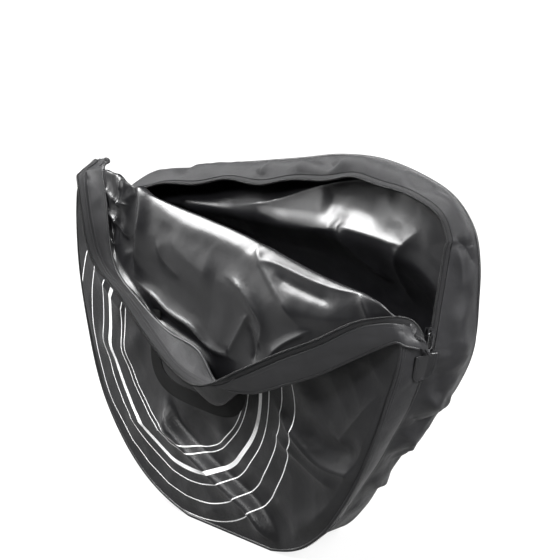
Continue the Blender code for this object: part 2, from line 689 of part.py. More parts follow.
def make_rear_panel():
    """The whole rear panel: round below, its top slumped into the bag. Returns its grid of places."""
    steps = ROUND_STEPS
    middle = np.array([0.0, REAR_Y, CENTRE_Z])
    edges = []
    for start, end in ((180 - MOUTH_ANGLE, MOUTH_ANGLE), (-180 - MOUTH_ANGLE, MOUTH_ANGLE)):
        line = [rear_edge(a, PIPING_RADIUS) for a in np.linspace(start, end, steps + 1)]
        edges.append([place + aside(line, k, middle) * PIPED_EDGE for k, place in enumerate(line)])
    upper, lower = edges
    left, right = lower[0], lower[-1]
    columns = []
    for k in range(steps + 1):
        centre = left + (right - left) * spread(k)
        top, foot = (upper[k], lower[k]) if 0 < k < steps else (centre, centre)
        tall = smooth_step((top[2] - centre[2]) / SLUMP_FADE)
        column = []
        for share in REAR_UPPER_ROW_SHARES:
            place = centre + (top - centre) * share
            place[1] -= slump_lean(share) * tall
            column.append(place)
        for share in REAR_LOWER_ROW_SHARES:
            place = centre + (foot - centre) * share
            reach = max(1 - (place[0] ** 2 + (place[2] - CENTRE_Z) ** 2) / PANEL_RADIUS**2, 0.0)
            calm = smooth_step((CENTRE_Z + MOUTH_HEIGHT - place[2]) / BULGE_FADE) * (1 - share**4)
            place[1] += REAR_BULGE * reach * calm
            column.append(place)
        columns.append(column)
    grid = np.array(columns).transpose(1, 0, 2)
    walls = np.full(grid.shape[:2], WALL)
    walls[:, 0] = walls[:, -1] = FOLD_EDGE_WALL
    add_sheet("rear_panel", grid, walls, "outer_cloth")
    return grid


def make_rear_zip():
    """The rear half of the zip: its coil along the rim, and the tape that joins it to the gusset."""
    stations = rear_ring()[: ROUND_STEPS + 1]
    rims = [rim for _, rim, _, _, _, _ in stations]
    tape = [[rim + side * reach for _, rim, _, _, side, _ in stations] for reach in (TAPE_START, TAPE_END)]
    add_sheet("rear_zip_tape", tape, TAPE_WALL, "zip_tape")
    add_tube("rear_zip_coil", rims, COIL_RADIUS, "zip_coil")


def make_ears():
    """The short ends of the front half of the zip, which stay on the lower gusset below the flap's fold."""
    for name, side in (("right", 1), ("left", -1)):
        edges = [ear_line(side, reach) for reach in (TAPE_START, TAPE_END)]
        lines = [[ear_place(side, y, height) for y, height in edge] for edge in edges]
        add_sheet(f"ear_zip_tape_{name}", lines, TAPE_WALL, "zip_tape")
        coil = [ear_place(side, y, height) for y, height in ear_line(side, 0.0)]
        add_tube(f"ear_zip_coil_{name}", coil, COIL_RADIUS, "zip_coil")


def make_end_patches():
    """The stitched patches over the two ends of the zip, and the metal stop at its right foot."""
    lift = SEAM_GAP + PATCH_WALL / 2
    for name, start, turn in (("right", MOUTH_ANGLE, -1), ("left", -180 - MOUTH_ANGLE, 1)):
        angles = [start + turn * PATCH_REACH_ANGLE * share for share in PATCH_RUN_SHARES]
        rows = []
        for share in PATCH_ACROSS_SHARES:
            bulge = FRONT_GUSSET_BULGE if share < 0 else REAR_GUSSET_BULGE
            rise = lift + bulge * share * share * PATCH_LIFT_SHARE
            y = ZIP_Y + share * PATCH_SPREAD
            rows.append([round_place(a, edge_radius(a, 1) + rise, y, 0.0) for a in angles])
        add_sheet(f"zip_end_patch_{name}", rows, PATCH_WALL, "outer_cloth")
    half = STOP_SIZE / 2
    outline = [(-half, -half), (half, -half), (half, half), (-half, half)]
    origin = rear_rim(MOUTH_ANGLE) - Z_AXIS * (half + 2 * SEAM_GAP)
    add_extrusion("zip_bottom_stop", outline, origin, Y_AXIS, X_AXIS, Z_AXIS, STOP_SIZE, "zip_metal")


def turn_outwards(made):
    """Flips an object's faces if its volume comes out negative."""
    mesh = made.data
    total = 0.0
    for face in mesh.polygons:
        corners = [mesh.vertices[i].co for i in face.vertices]
        for k in range(1, len(corners) - 1):
            total += corners[0].dot(corners[k].cross(corners[k + 1]))
    if total < 0:
        mesh.flip_normals()


def join(base, other):
    """Boolean union of another object into the base, applied, with the other removed."""
    for made in (base, other):
        turn_outwards(made)
    union = base.modifiers.new("join", "BOOLEAN")
    union.operation = "UNION"
    union.object = other
    union.solver = "EXACT"
    bpy.context.view_layer.update()
    graph = bpy.context.evaluated_depsgraph_get()
    merged = bpy.data.meshes.new_from_object(base.evaluated_get(graph))
    base.modifiers.clear()
    base.data = merged
    bpy.data.objects.remove(other)


def put_origin(names, place):
    """Moves the origins of objects to a place on the axis they turn about or slide along."""
    for name in names:
        made = bpy.data.objects[name]
        made.data.transform(Matrix.Translation(Vector(-place)))
        made.location = Vector(place)


def slider_frame():
    """The slider's start, and its directions: along the zip, out of the bag, and across towards the rear."""
    along = unit(np.array([0.0, ZIP_LEAN, ZIP_RISE]))
    across = np.cross(along, X_AXIS)
    return rear_rim(MOUTH_ANGLE) + along * SLIDER_START, along, X_AXIS, across


def make_slider():
    """The zip slider, two plates joined by a wall between the coils, and the wire loop on its bridge."""
    origin, along, outward, across = slider_frame()
    inside = COIL_RADIUS + SLIDER_CLEARANCE
    outside = inside + SLIDER_WALL
    wall = -inside - SLIDER_WALL
    front, rear = wall - SLIDER_WIDTH / 2, SLIDER_WIDTH / 2
    plates = (
        (front, outside), (front, inside), (wall, inside), (wall, -inside), (front, -inside),
        (front, -outside), (rear, -outside), (rear, -inside), (-inside, -inside), (-inside, inside),
        (rear, inside), (rear, outside),
    )
    body = add_extrusion("slider_body", plates, origin, across, outward, along, SLIDER_LENGTH, "zip_metal")
    foot = outside - SLIDER_WALL / 2
    hole_top = outside + BRIDGE_HOLE
    half, hole_half = BRIDGE_LENGTH / 2, BRIDGE_LENGTH / 2 - BRIDGE_WALL
    arch = (
        (-half, foot), (-hole_half, foot), (-hole_half, hole_top), (hole_half, hole_top),
        (hole_half, foot), (half, foot), (half, hole_top), (hole_half, hole_top + BRIDGE_WALL),
        (-hole_half, hole_top + BRIDGE_WALL), (-half, hole_top),
    )
    centre = origin + across * BRIDGE_OFFSET
    bridge = add_extrusion("bridge", arch, centre, along, outward, across, BRIDGE_WIDTH, "zip_metal")
    join(body, bridge)

    hinge = centre + outward * (outside + BRIDGE_HOLE / 2)
    half_width = PULL_WIDTH / 2
    straight = PULL_LENGTH - PULL_WIDTH / 2
    bar, shoulder = half_width * PULL_BAR_SHARE, half_width * PULL_SHOULDER_SHARE
    outline = [(-bar, 0.0), (0.0, 0.0), (bar, 0.0), (half_width, -shoulder), (half_width, -straight)]
    for k in range(1, PULL_ARC_STEPS):
        turn = math.pi * k / PULL_ARC_STEPS
        outline.append((half_width * math.cos(turn), -straight - half_width * math.sin(turn)))
    outline += [(-half_width, -straight), (-half_width, -shoulder)]
    loop = [hinge + across * a + along * b for a, b in outline]
    add_tube("pull_loop", loop, PULL_WIRE_RADIUS, "zip_metal", closed=True)
    put_origin(["slider_body"], origin)
    put_origin(["pull_loop"], hinge)


def flap_place(shares):
    """A place on the flap from its x, stand-out and height shares."""
    x, out, height = shares
    return np.array([x * PANEL_RADIUS, FRONT_Y - out * PANEL_RADIUS, CENTRE_Z + height * PANEL_RADIUS])


def flap_line(table):
    """A smooth line across the flap through one row of its ribs."""
    places = [flap_place(row) for row in table]
    last = len(table) - 1
    return [curve_through(range(last + 1), places, k) for k in np.linspace(0, last, FLAP_STEPS + 1)]


def make_flap():
    """The upper part of the front panel, folded out and down, with its gusset, piping and half of the zip."""
    fold_table = [(x, 0.0, FOLD_HEIGHT / PANEL_RADIUS) for x in FLAP_FOLD_X_SHARES]
    tables = (
        fold_table, FLAP_RIDGE_SHARES, FLAP_SHOULDER_SHARES, FLAP_BELLY_SHARES, FLAP_LOBE_SHARES,
        FLAP_POUCH_SHARES, FLAP_SEAM_SHARES,
    )
    lines = [flap_line(table) for table in tables]
    seam, rim = lines[-1], flap_line(FLAP_RIM_SHARES)
    panel, gusset, tape_in, tape_out = [], [], [], []
    for k in range(FLAP_STEPS + 1):
        stations = [line[k] for line in lines]
        column = [curve_through(range(len(lines)), stations, at) for at in FLAP_ROWS]
        to_panel, to_rim = aside(seam, k, column[-2]), aside(seam, k, rim[k])
        apart = SEAM_SPREAD * max(0.0, to_panel @ to_rim)
        column[-1] = seam[k] + unit(to_panel - to_rim * apart) * FLAP_PIPED_EDGE
        panel.append(column)
        to_seam = aside(rim, k, seam[k])
        start = seam[k] + unit(to_rim - to_panel * apart) * FLAP_PIPED_EDGE
        end = rim[k] + to_seam * GUSSET_EDGE_AT_ZIP
        outward = unit(np.cross(tangent_at(seam, k), end - start))
        strip = [start]
        for share in FLAP_GUSSET_ROW_SHARES:
            lift = FLAP_GUSSET_BULGE_SHARE * np.linalg.norm(end - start) * math.sin(math.pi * share)
            strip.append(start + (end - start) * share - outward * lift)
        gusset.append(strip + [end])
        tape_in.append(rim[k] + to_seam * TAPE_START)
        tape_out.append(rim[k] + to_seam * TAPE_END)
    walls = np.full((len(FLAP_ROWS), FLAP_STEPS + 1), WALL)
    walls[0, :] = FOLD_EDGE_WALL
    grid = np.array(panel).transpose(1, 0, 2)
    add_sheet("flap_panel", grid, walls, "panel_cloth")
    add_sheet("flap_gusset", np.array(gusset).transpose(1, 0, 2), WALL, "outer_cloth")
    add_sheet("flap_zip_tape", [tape_in, tape_out], TAPE_WALL, "zip_tape")
    add_tube("flap_zip_coil", rim, COIL_RADIUS, "zip_coil")
    add_tube("flap_piping", seam, PIPING_RADIUS, "piping")
    return grid


def on_grid(grid, row, x):
    """The place on a grid's row, which may lie between two, where it crosses an x."""
    low = min(int(row), len(grid) - 2)
    line = grid[low] + (grid[low + 1] - grid[low]) * (row - low)
    for a, b in zip(line, line[1:]):
        if (a[0] - x) * (b[0] - x) <= 0:
            return a + (b - a) * (x - a[0]) / (b[0] - a[0])
    raise ValueError(f"no place at x {x}")


def on_back(grid, row, x, side):
    """A place for webbing against a grid's cloth, on the side that faces +Y or -Y."""
    place = on_grid(grid, row, x)
    ahead = on_grid(grid, row + ROW_STEP, x) - place
    across = on_grid(grid, row, x + WEBBING_WIDTH / 2) - place
    normal = unit(np.cross(ahead, across))
    normal = normal * side * (1 if normal[1] > 0 else -1)
    return place + normal * (WALL / 2 + TAB_GAP + WEBBING_WALL / 2)


def make_handle(name, grid, rows, side, pivots):
    """A carry handle: two tabs sewn to the cloth of a grid, and a loop of webbing that hangs between them."""
    left, right = pivots
    axis = unit(right - left)
    down = np.cross(axis, Y_AXIS) * -1
    half = WEBBING_WIDTH / 2
    for label, pivot in (("left", left), ("right", right)):
        edges = []
        for turn in TAB_LINE_SHARES:
            edge = [on_back(grid, row, pivot[0] + turn * half, side) for row in rows]
            edge.append(pivot + axis * turn * half - down * WEBBING_TAPER)
            edge.append(pivot + axis * turn * half - down * HANDLE_GAP)
            edges.append(edge)
        walls = [WEBBING_WALL] * (len(rows) + 1) + [HANDLE_EDGE_WALL]
        add_sheet(f"{name}_tab_{label}", edges, [walls] * len(edges), "webbing")
    places, walls = [], []
    for k in range(HANDLE_STEPS + 1):
        turn = math.pi * k / HANDLE_STEPS
        across = math.copysign(abs(math.cos(turn)) ** HANDLE_SQUARENESS, -math.cos(turn))
        drop = HANDLE_GAP + (HANDLE_DROP - HANDLE_GAP) * math.sin(turn) ** HANDLE_SQUARENESS
        places.append((left + right) / 2 + axis * across * np.linalg.norm(right - left) / 2 + down * drop)
        walls.append(WEBBING_WALL if 0 < k < HANDLE_STEPS else HANDLE_EDGE_WALL)
    outer, inner = [], []
    for k, place in enumerate(places):
        if k in (0, HANDLE_STEPS):
            width = axis * (1 if k == 0 else -1)
        else:
            width = unit(np.cross(Y_AXIS, tangent_at(places, k)))
            width = width * (1 if width @ ((left + right) / 2 - place) > 0 else -1)
        outer.append(place - width * half)
        inner.append(place + width * half)
    add_sheet(name, [outer, inner], [walls, walls], "webbing")
    put_origin([name], (left + right) / 2)


def main():
    """Builds the bag in an empty scene."""
    for old in list(bpy.data.objects):
        bpy.data.objects.remove(old)
    make_front_panel()
    rear = make_rear_panel()
    make_gussets()
    make_pipings()
    make_rear_zip()
    make_ears()
    make_end_patches()
    make_slider()
    flap = make_flap()
    reach = HANDLE_SPAN / 2
    middle = flap_place(FRONT_HANDLE_SHARES)
    pivots = [middle + X_AXIS * turn * reach for turn in (-1, 1)]
    make_handle("front_handle", flap, FRONT_TAB_ROWS, 1, pivots)
    on_flap = [made.name for made in bpy.data.objects if made.name.startswith(FLAP_NAMES)]
    put_origin(on_flap, np.array([0.0, FRONT_Y, FOLD_Z]))
    pivots = []
    for turn in (-1, 1):
        x = REAR_HANDLE_X + turn * reach
        z = on_grid(rear, 0, x)[2] - REAR_HANDLE_BELOW_SEAM
        pivots.append(np.array([x, REAR_Y + REAR_HANDLE_OUT, z]))
    make_handle("rear_handle", rear, REAR_TAB_ROWS, 1, pivots)
    for made in list(bpy.data.objects):
        turn_outwards(made)


main()
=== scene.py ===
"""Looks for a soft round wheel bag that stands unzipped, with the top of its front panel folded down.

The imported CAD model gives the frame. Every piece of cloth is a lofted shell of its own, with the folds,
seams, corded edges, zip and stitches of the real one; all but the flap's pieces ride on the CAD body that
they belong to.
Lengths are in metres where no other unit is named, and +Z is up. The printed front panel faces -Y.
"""

from __future__ import annotations

import logging
import math
from dataclasses import dataclass
from enum import Enum
from typing import Iterable, Optional, Sequence

import bmesh
import bpy
import numpy as np
from bpy.types import Material, Mesh, Node, NodeSocket, NodeTree, Object
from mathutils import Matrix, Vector, noise
from numpy import ndarray

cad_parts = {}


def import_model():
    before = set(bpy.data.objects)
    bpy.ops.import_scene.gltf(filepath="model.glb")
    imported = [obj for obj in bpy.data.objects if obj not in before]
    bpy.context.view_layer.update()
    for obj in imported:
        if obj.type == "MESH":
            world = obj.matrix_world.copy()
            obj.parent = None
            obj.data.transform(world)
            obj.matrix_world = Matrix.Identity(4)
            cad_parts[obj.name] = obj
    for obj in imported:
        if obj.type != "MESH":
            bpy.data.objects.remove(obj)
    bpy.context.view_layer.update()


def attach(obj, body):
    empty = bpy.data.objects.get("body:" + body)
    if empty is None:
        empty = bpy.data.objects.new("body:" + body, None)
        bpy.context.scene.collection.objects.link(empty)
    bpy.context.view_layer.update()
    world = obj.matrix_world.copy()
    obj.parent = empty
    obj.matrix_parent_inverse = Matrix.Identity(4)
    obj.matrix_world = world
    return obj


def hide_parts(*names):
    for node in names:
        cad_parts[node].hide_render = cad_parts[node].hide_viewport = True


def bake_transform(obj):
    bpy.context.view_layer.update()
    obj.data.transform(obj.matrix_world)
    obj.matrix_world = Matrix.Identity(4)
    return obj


LOG = logging.getLogger("wheel_bag")
X_AXIS = np.array([1.0, 0.0, 0.0])
Y_AXIS = np.array([0.0, 1.0, 0.0])


# Numbers and lines


def smooth_step(value: ndarray) -> ndarray:
    """0 below 0, 1 above 1 and a smooth turn between."""
    t = np.clip(value, 0.0, 1.0)
    return t * t * (3 - 2 * t)


def unit(vectors: ndarray) -> ndarray:
    """The vectors along the last axis, at length 1."""
    lengths = np.linalg.norm(vectors, axis=-1, keepdims=True)
    return vectors / np.maximum(lengths, 1e-12)


def curve_through(knots: Sequence[float], values: Sequence, at) -> ndarray:
    """A smooth curve through values at rising knots.

    Args:
        knots: Parameters of the values.
        values: One value or point for each knot.
        at: The parameters to read the curve at.

    Returns:
        One value or point for each parameter.
    """
    knots = np.asarray(knots, float)
    values = np.asarray(values, float)
    at = np.atleast_1d(np.asarray(at, float))
    i = np.clip(np.searchsorted(knots, at, side="right") - 1, 0, len(knots) - 2)
    wide = np.concatenate([[2 * knots[0] - knots[1]], knots, [2 * knots[-1] - knots[-2]]])
    ends = np.concatenate([[2 * values[0] - values[1]], values, [2 * values[-1] - values[-2]]])
    shape = at.shape + (1,) * (values.ndim - 1)
    span = (wide[i + 2] - wide[i + 1]).reshape(shape)
    t = ((at - wide[i + 1]) / (wide[i + 2] - wide[i + 1])).reshape(shape)
    slope_in = (ends[i + 2] - ends[i]) / (wide[i + 2] - wide[i]).reshape(shape) * span
    slope_out = (ends[i + 3] - ends[i + 1]) / (wide[i + 3] - wide[i + 1]).reshape(shape) * span
    return (
        (2 * t**3 - 3 * t**2 + 1) * ends[i + 1]
        + (t**3 - 2 * t**2 + t) * slope_in
        + (3 * t**2 - 2 * t**3) * ends[i + 2]
        + (t**3 - t**2) * slope_out
    )


def tangents_of(line: ndarray, closed: bool = False) -> ndarray:
    """The direction of a line at each of its places."""
    if closed:
        return unit(np.roll(line, -1, axis=0) - np.roll(line, 1, axis=0))
    return unit(np.gradient(line, axis=0))


def asides(line: ndarray, toward: ndarray, closed: bool = False) -> ndarray:
    """The directions square to a line that face other places.

    Args:
        line: Places along the line.
        toward: One place to face, or one for each place of the line.
        closed: Whether the line runs back to its start.

    Returns:
        One direction for each place of the line.
    """
    tangents = tangents_of(line, closed)
    lean = toward - line
    return unit(lean - tangents * np.sum(lean * tangents, axis=1, keepdims=True))


def softened(vectors: ndarray, reach: int) -> ndarray:
    """Directions along a line, each made the mean of its neighbours so that none turns suddenly."""
    wide = np.pad(vectors, ((reach, reach), (0, 0)), mode="edge")
    window = np.hanning(2 * reach + 3)[1:-1]
    return unit(np.stack([np.convolve(wide[:, axis], window, mode="valid") for axis in range(3)], axis=1))


def run_lengths(line: ndarray) -> ndarray:
    """How far along a line each of its places lies."""
    steps = np.linalg.norm(np.diff(line, axis=0), axis=1)
    return np.concatenate([[0.0], np.cumsum(steps)])


def even_line(line: ndarray, pitch: float) -> ndarray:
    """A line's places set again at one even pitch."""
    lengths = run_lengths(line)
    count = max(2, int(lengths[-1] / pitch) + 1)
    at = np.linspace(0.0, lengths[-1], count)
    return np.stack([np.interp(at, lengths, line[:, axis]) for axis in range(3)], axis=1)


def noise_at(points: ndarray, size: float, shift: float = 0.0) -> ndarray:
    """Soft noise from -1 to 1, of one grain size, at places in an array of any shape."""
    flat = points.reshape(-1, 3) / size + shift
    values = [noise.noise(Vector(place)) for place in flat]
    return np.array(values).reshape(points.shape[:-1])


def ridged_at(points: ndarray, size: float, shift: float = 0.0) -> ndarray:
    """Noise from 0 to 1 whose crests are sharp, as crumpled coated cloth has."""
    return 1.0 - np.abs(noise_at(points, size, shift)) * 2.0


@dataclass(frozen=True)
class BagShape:
    """The edges and seams that all of the bag's cloth hangs between, as in the CAD model."""

    radius: float = 0.4
    front_depth: float = 0.05
    rear_depth: float = 0.09
    floor_sag: float = 0.008
    mouth_height: float = 0.01
    fold_height: float = 0.06
    wall: float = 0.0016
    piping_radius: float = 0.0025
    front_bulge: float = 0.024
    rear_bulge: float = 0.012
    front_gusset_bulge: float = 0.003
    rear_gusset_bulge: float = 0.01
    bulge_fade: float = 0.133
    slump_fade: float = 0.08
    tip_inset: float = 0.006
    coil_radius: float = 0.002
    tape_width: float = 0.012
    tape_overlap: float = 0.004
    tape_wall: float = 0.0008
    zip_cord_radius: float = 0.0009
    # how far in from the rim the tape's two rows of stitches run
    stitch_rows: tuple = (0.0115, 0.0165)
    # degrees below the mouth over which the zip's ends run out
    zip_end_angle: float = 2.6
    seam_inset: float = 0.0004
    seam_gap: float = 0.0005
    zip_lean: float = 0.032
    zip_rise: float = 0.155
    ear_blend: float = 0.03
    # angle, then how far out the front seam, the zip line and the rear seam lie, as shares of the radius
    lower_edges: tuple = (
        (9, 1.0, 1.0, 1.0), (0, 0.975, 0.985, 0.99), (-12, 0.92, 0.925, 0.915),
        (-25, 0.9, 0.87, 0.835), (-37, 0.91, 0.86, 0.8), (-48, 0.935, 0.87, 0.795),
        (-59, 0.975, 0.915, 0.835), (-69, 1.0, 0.97, 0.91), (-79, 1.0, 1.0, 0.985),
        (-90, 1.0, 1.0, 1.0), (-105, 1.02, 1.01, 1.0), (-122, 1.045, 1.02, 1.0),
        (-140, 1.025, 1.01, 1.0), (-158, 0.975, 0.985, 1.0), (-175, 0.965, 0.97, 0.98),
        (-189, 0.975, 0.97, 0.97),
    )
    # depth from the zip towards the front and height above the centre, as shares of the front depth
    right_ear: tuple = ((0.06, 0.34), (0.2, 0.8), (0.42, 1.06), (0.68, 1.18), (0.9, 1.22))
    left_ear: tuple = ((0.05, 0.45), (0.14, 1.2), (0.32, 1.66), (0.62, 1.62), (0.9, 1.44))
    # angle, then x, depth and height shares of the rear half of the mouth, at its zip and at its seam
    rear_rim_places: tuple = (
        (30, 0.995, 0.38, 0.44), (42, 0.915, 0.46, 0.52), (55, 0.735, 0.5, 0.545),
        (70, 0.475, 0.52, 0.53), (85, 0.235, 0.54, 0.47), (100, 0.0, 0.52, 0.39),
        (115, -0.225, 0.48, 0.33), (130, -0.45, 0.4, 0.27), (145, -0.66, 0.3, 0.205),
        (160, -0.85, 0.16, 0.13),
    )
    rear_seam_places: tuple = (
        (10, 1.012, 0.98, 0.17), (20, 1.015, 1.0, 0.32), (30, 0.985, 1.0, 0.45),
        (42, 0.875, 1.0, 0.545), (55, 0.7, 1.0, 0.58), (70, 0.45, 1.0, 0.58),
        (85, 0.2, 1.0, 0.53), (100, -0.05, 1.0, 0.445), (115, -0.275, 1.0, 0.37),
        (130, -0.5, 1.0, 0.295), (145, -0.7, 1.0, 0.22), (160, -0.875, 1.0, 0.145),
    )

    @property
    def centre_z(self) -> float:
        """The height of the panels' centre above the floor."""
        return self.radius - self.floor_sag

    @property
    def zip_y(self) -> float:
        """The depth of the zip's plane."""
        return -(self.rear_depth - self.front_depth) / 2

    @property
    def front_y(self) -> float:
        """The depth of the front panel's seam."""
        return self.zip_y - self.front_depth

    @property
    def rear_y(self) -> float:
        """The depth of the rear panel's seam."""
        return self.zip_y + self.rear_depth

    @property
    def mouth_angle(self) -> float:
        """The angle round the panel at which the open mouth starts."""
        return math.degrees(math.asin(self.mouth_height / self.radius))

    @property
    def fold_angle(self) -> float:
        """The angle round the panel at which the fold ends."""
        return math.degrees(math.asin(self.fold_height / self.radius))

    @property
    def tape_end(self) -> float:
        """How far from the rim the zip tape reaches."""
        return self.coil_radius + self.seam_gap + self.tape_width

    @property
    def cloth_end(self) -> float:
        """How far from the rim the cloth ends that is sewn onto the zip tape."""
        return self.tape_end - self.tape_overlap

    def edge_radius(self, angles: ndarray, line: int) -> ndarray:
        """How far from the panel's centre a lower edge lies; line 0 is the front, 1 the zip, 2 the rear."""
        turned = np.where(np.asarray(angles, float) > 90, np.asarray(angles, float) - 360, angles)
        knots = [-row[0] for row in self.lower_edges]
        shares = [row[1 + line] for row in self.lower_edges]
        return curve_through(knots, shares, -turned) * self.radius

    def round_places(self, angles: ndarray, radii: ndarray, y, floor: float) -> ndarray:
        """Places on circles about the panel's centre, kept above the floor."""
        turn = np.radians(angles)
        x = np.cos(turn) * radii
        z = np.maximum(self.centre_z + np.sin(turn) * radii, floor)
        return np.stack([x, np.broadcast_to(y, x.shape), z], axis=-1)

    def in_mouth(self, angles: ndarray) -> ndarray:
        """Whether each angle lies in the open mouth."""
        return (angles > self.mouth_angle) & (angles < 180 - self.mouth_angle)

    def mouth_places(self, rows: Sequence) -> list:
        """Places on the rear of the mouth from their rows of shares."""
        size = np.array([self.radius, self.rear_depth, self.radius])
        return [np.array([0.0, self.zip_y, self.centre_z]) + np.array(row[1:]) * size for row in rows]

    def rear_rim(self, angles: ndarray) -> ndarray:
        """The zip edge of the rear half: round below, straight up its right side, then slumped."""
        angles = np.asarray(angles, float)
        half = self.wall / 2
        below = self.round_places(angles, self.edge_radius(angles, 1) - half, self.zip_y, half)
        ends = np.array([self.mouth_angle, -180 - self.mouth_angle])
        right, left = self.round_places(ends, self.edge_radius(ends, 1) - half, self.zip_y, 0.0)
        top = right + np.array([0.0, self.zip_lean, self.zip_rise])
        straight_end, lead = 26.0, 22.0
        share = (lead - self.mouth_angle) / (straight_end - self.mouth_angle)
        knots = [lead, straight_end] + [row[0] for row in self.rear_rim_places] + [180 - self.mouth_angle]
        places = [right + (top - right) * share, top] + self.mouth_places(self.rear_rim_places) + [left]
        over = curve_through(knots, places, angles)
        slack = smooth_step((angles - 50) / 25) * smooth_step((158 - angles) / 12)
        sway, dip = 0.003 * np.sin(np.radians(angles * 9)), 0.0036 * np.sin(np.radians(angles * 15 + 40))
        over = over + slack[:, None] * np.stack([0 * angles, sway, dip], axis=1)
        climb = (angles - self.mouth_angle) / (straight_end - self.mouth_angle)
        up = right + (top - right) * climb[:, None]
        mouth = np.where((angles <= straight_end)[:, None], up, over)
        return np.where(self.in_mouth(angles)[:, None], mouth, below)

    def rear_edge(self, angles: ndarray, inset: float) -> ndarray:
        """The rear edge of the bag, its lower part a given inset within the outline."""
        angles = np.asarray(angles, float)
        below = self.round_places(angles, self.edge_radius(angles, 2) - inset, self.rear_y, inset)
        lead = self.mouth_angle - 8.0
        ends = np.array([lead, self.mouth_angle, -180 - self.mouth_angle, -180 - lead])
        a, b, c, d = self.round_places(ends, self.edge_radius(ends, 2) - inset, self.rear_y, inset)
        knots = [lead, self.mouth_angle] + [row[0] for row in self.rear_seam_places]
        knots += [180 - self.mouth_angle, 180 - lead]
        over = curve_through(knots, [a, b] + self.mouth_places(self.rear_seam_places) + [c, d], angles)
        return np.where(self.in_mouth(angles)[:, None], over, below)

    def ring_angles(self, steps: int) -> ndarray:
        """Angles round the whole bag from the right end of the mouth, over it and back below."""
        upper = np.linspace(self.mouth_angle, 180 - self.mouth_angle, steps + 1)[:-1]
        return np.concatenate([upper, self.lower_angles(self.mouth_angle, steps)[:-1]])

    def lower_angles(self, end: float, steps: int) -> ndarray:
        """Angles round the lower part of the bag, left to right, between ends an angle above its middle."""
        return np.linspace(-180 - end, end, steps + 1)

    def stand_out_at(self, angles: ndarray) -> ndarray:
        """How freely the gusset stands out: not at all at the flat foot of the bag."""
        return smooth_step((np.abs(np.asarray(angles) + 90) - 14.0) / 30.0)

    def band_radius(self, angles: ndarray, y: ndarray) -> ndarray:
        """How far from the panel's centre the front gusset's cloth lies at an angle and a depth."""
        share = (y - self.front_y) / self.front_depth
        return self.edge_radius(angles, 0) * (1 - share) + self.edge_radius(angles, 1) * share - self.wall / 2

    def ear_line(self, side: int, reach: float, steps: int) -> ndarray:
        """Depths and heights along one end of the front zip, a given reach inside its coil."""
        table = self.right_ear if side > 0 else self.left_ear
        size = self.front_depth
        places = [(self.zip_y - depth * size, height * size) for depth, height in table]
        line = curve_through(range(len(table)), places, np.linspace(0, len(table) - 1, 61))
        run = unit(np.gradient(line, axis=0))
        moved = line + np.stack([-run[:, 1], run[:, 0]], axis=1) * reach
        kept = moved[moved[:, 0] > self.front_y + self.piping_radius]
        lengths = np.concatenate([[0.0], np.cumsum(np.linalg.norm(np.diff(kept, axis=0), axis=1))])
        at = np.linspace(0.0, lengths[-1], steps + 1)
        return np.stack([np.interp(at, lengths, kept[:, axis]) for axis in (0, 1)], axis=1)

    def front_piping_line(self, steps: int) -> ndarray:
        """The middle of the corded seam round the lower part of the front panel."""
        angles = self.lower_angles(self.fold_angle, steps)
        radii = self.edge_radius(angles, 0) - self.piping_radius
        return self.round_places(angles, radii, self.front_y, self.piping_radius)


def spread(steps: int) -> ndarray:
    """Shares of the way across the bag of a panel's columns, closer together near its ends."""
    share = np.linspace(0.0, 1.0, steps + 1)
    return (share + (1 - np.cos(math.pi * share)) / 2) / 2


# Folds in the cloth


class FoldForm(Enum):
    """How a fold in cloth stands: a soft roll, a sharp crest, or a step from one side to the other."""

    SOFT = "soft"
    SHARP = "sharp"
    STEP = "step"


SOFT, SHARP, STEP = FoldForm


@dataclass(frozen=True)
class Fold:
    """One fold in a cloth, along a smooth line through places on its own flat."""

    places: tuple
    width: float
    height: float
    form: FoldForm = SOFT

    def height_at(self, across: ndarray, along: ndarray) -> ndarray:
        """How far the fold lifts the cloth.

        Args:
            across: The first coordinate of the places on the cloth's flat.
            along: The second coordinate.

        Returns:
            The lift at each place, in metres.
        """
        count = len(self.places)
        line = curve_through(range(count), self.places, np.linspace(0, count - 1, 6 * (count - 1) + 1))
        nearest = np.full(across.shape, np.inf)
        side, reached = np.zeros(across.shape), np.zeros(across.shape)
        for k, (start, end) in enumerate(zip(line[:-1], line[1:])):
            run = end - start
            a, b = across - start[0], along - start[1]
            t = np.clip((a * run[0] + b * run[1]) / float(run @ run), 0.0, 1.0)
            far = np.hypot(a - t * run[0], b - t * run[1])
            closer = far < nearest
            side = np.where(closer, np.copysign(far, run[0] * b - run[1] * a), side)
            reached = np.where(closer, (k + t) / (len(line) - 1), reached)
            nearest = np.where(closer, far, nearest)
        fade = smooth_step(reached / 0.22) * smooth_step((1 - reached) / 0.22)
        return self.height * self._profile(side) * fade

    def _profile(self, side: ndarray) -> ndarray:
        """The fold's form across its line."""
        if self.form is SOFT:
            return np.exp(-((side / self.width) ** 2))
        if self.form is SHARP:
            return np.exp(-np.abs(side) / self.width)
        return np.tanh(side / self.width) * np.exp(-((side / (5 * self.width)) ** 2))


def folds_from(*rows: tuple) -> tuple:
    """Folds from rows of their places, width and height in millimetres, and their form if it isn't soft."""
    return tuple(
        Fold(tuple((x / 1000, y / 1000) for x, y in places), width / 1000, height / 1000, *form)
        for places, width, height, *form in rows
    )


def folded(folds: Iterable[Fold], across: ndarray, along: ndarray) -> ndarray:
    """The lift that all the folds of a cloth give at places on its flat."""
    total = np.zeros(np.broadcast(across, along).shape)
    across, along = np.broadcast_arrays(across, along)
    for fold in folds:
        total += fold.height_at(across, along)
    return total


def grid_normals(grid: ndarray, closed: bool = False) -> ndarray:
    """The directions square to a grid at its places; a closed grid's last column repeats its first."""
    down, along = np.gradient(grid, axis=0), np.gradient(grid, axis=1)
    if closed:
        along[:, 0] = along[:, -1] = grid[:, 1] - grid[:, -2]
    return unit(np.cross(along, down))


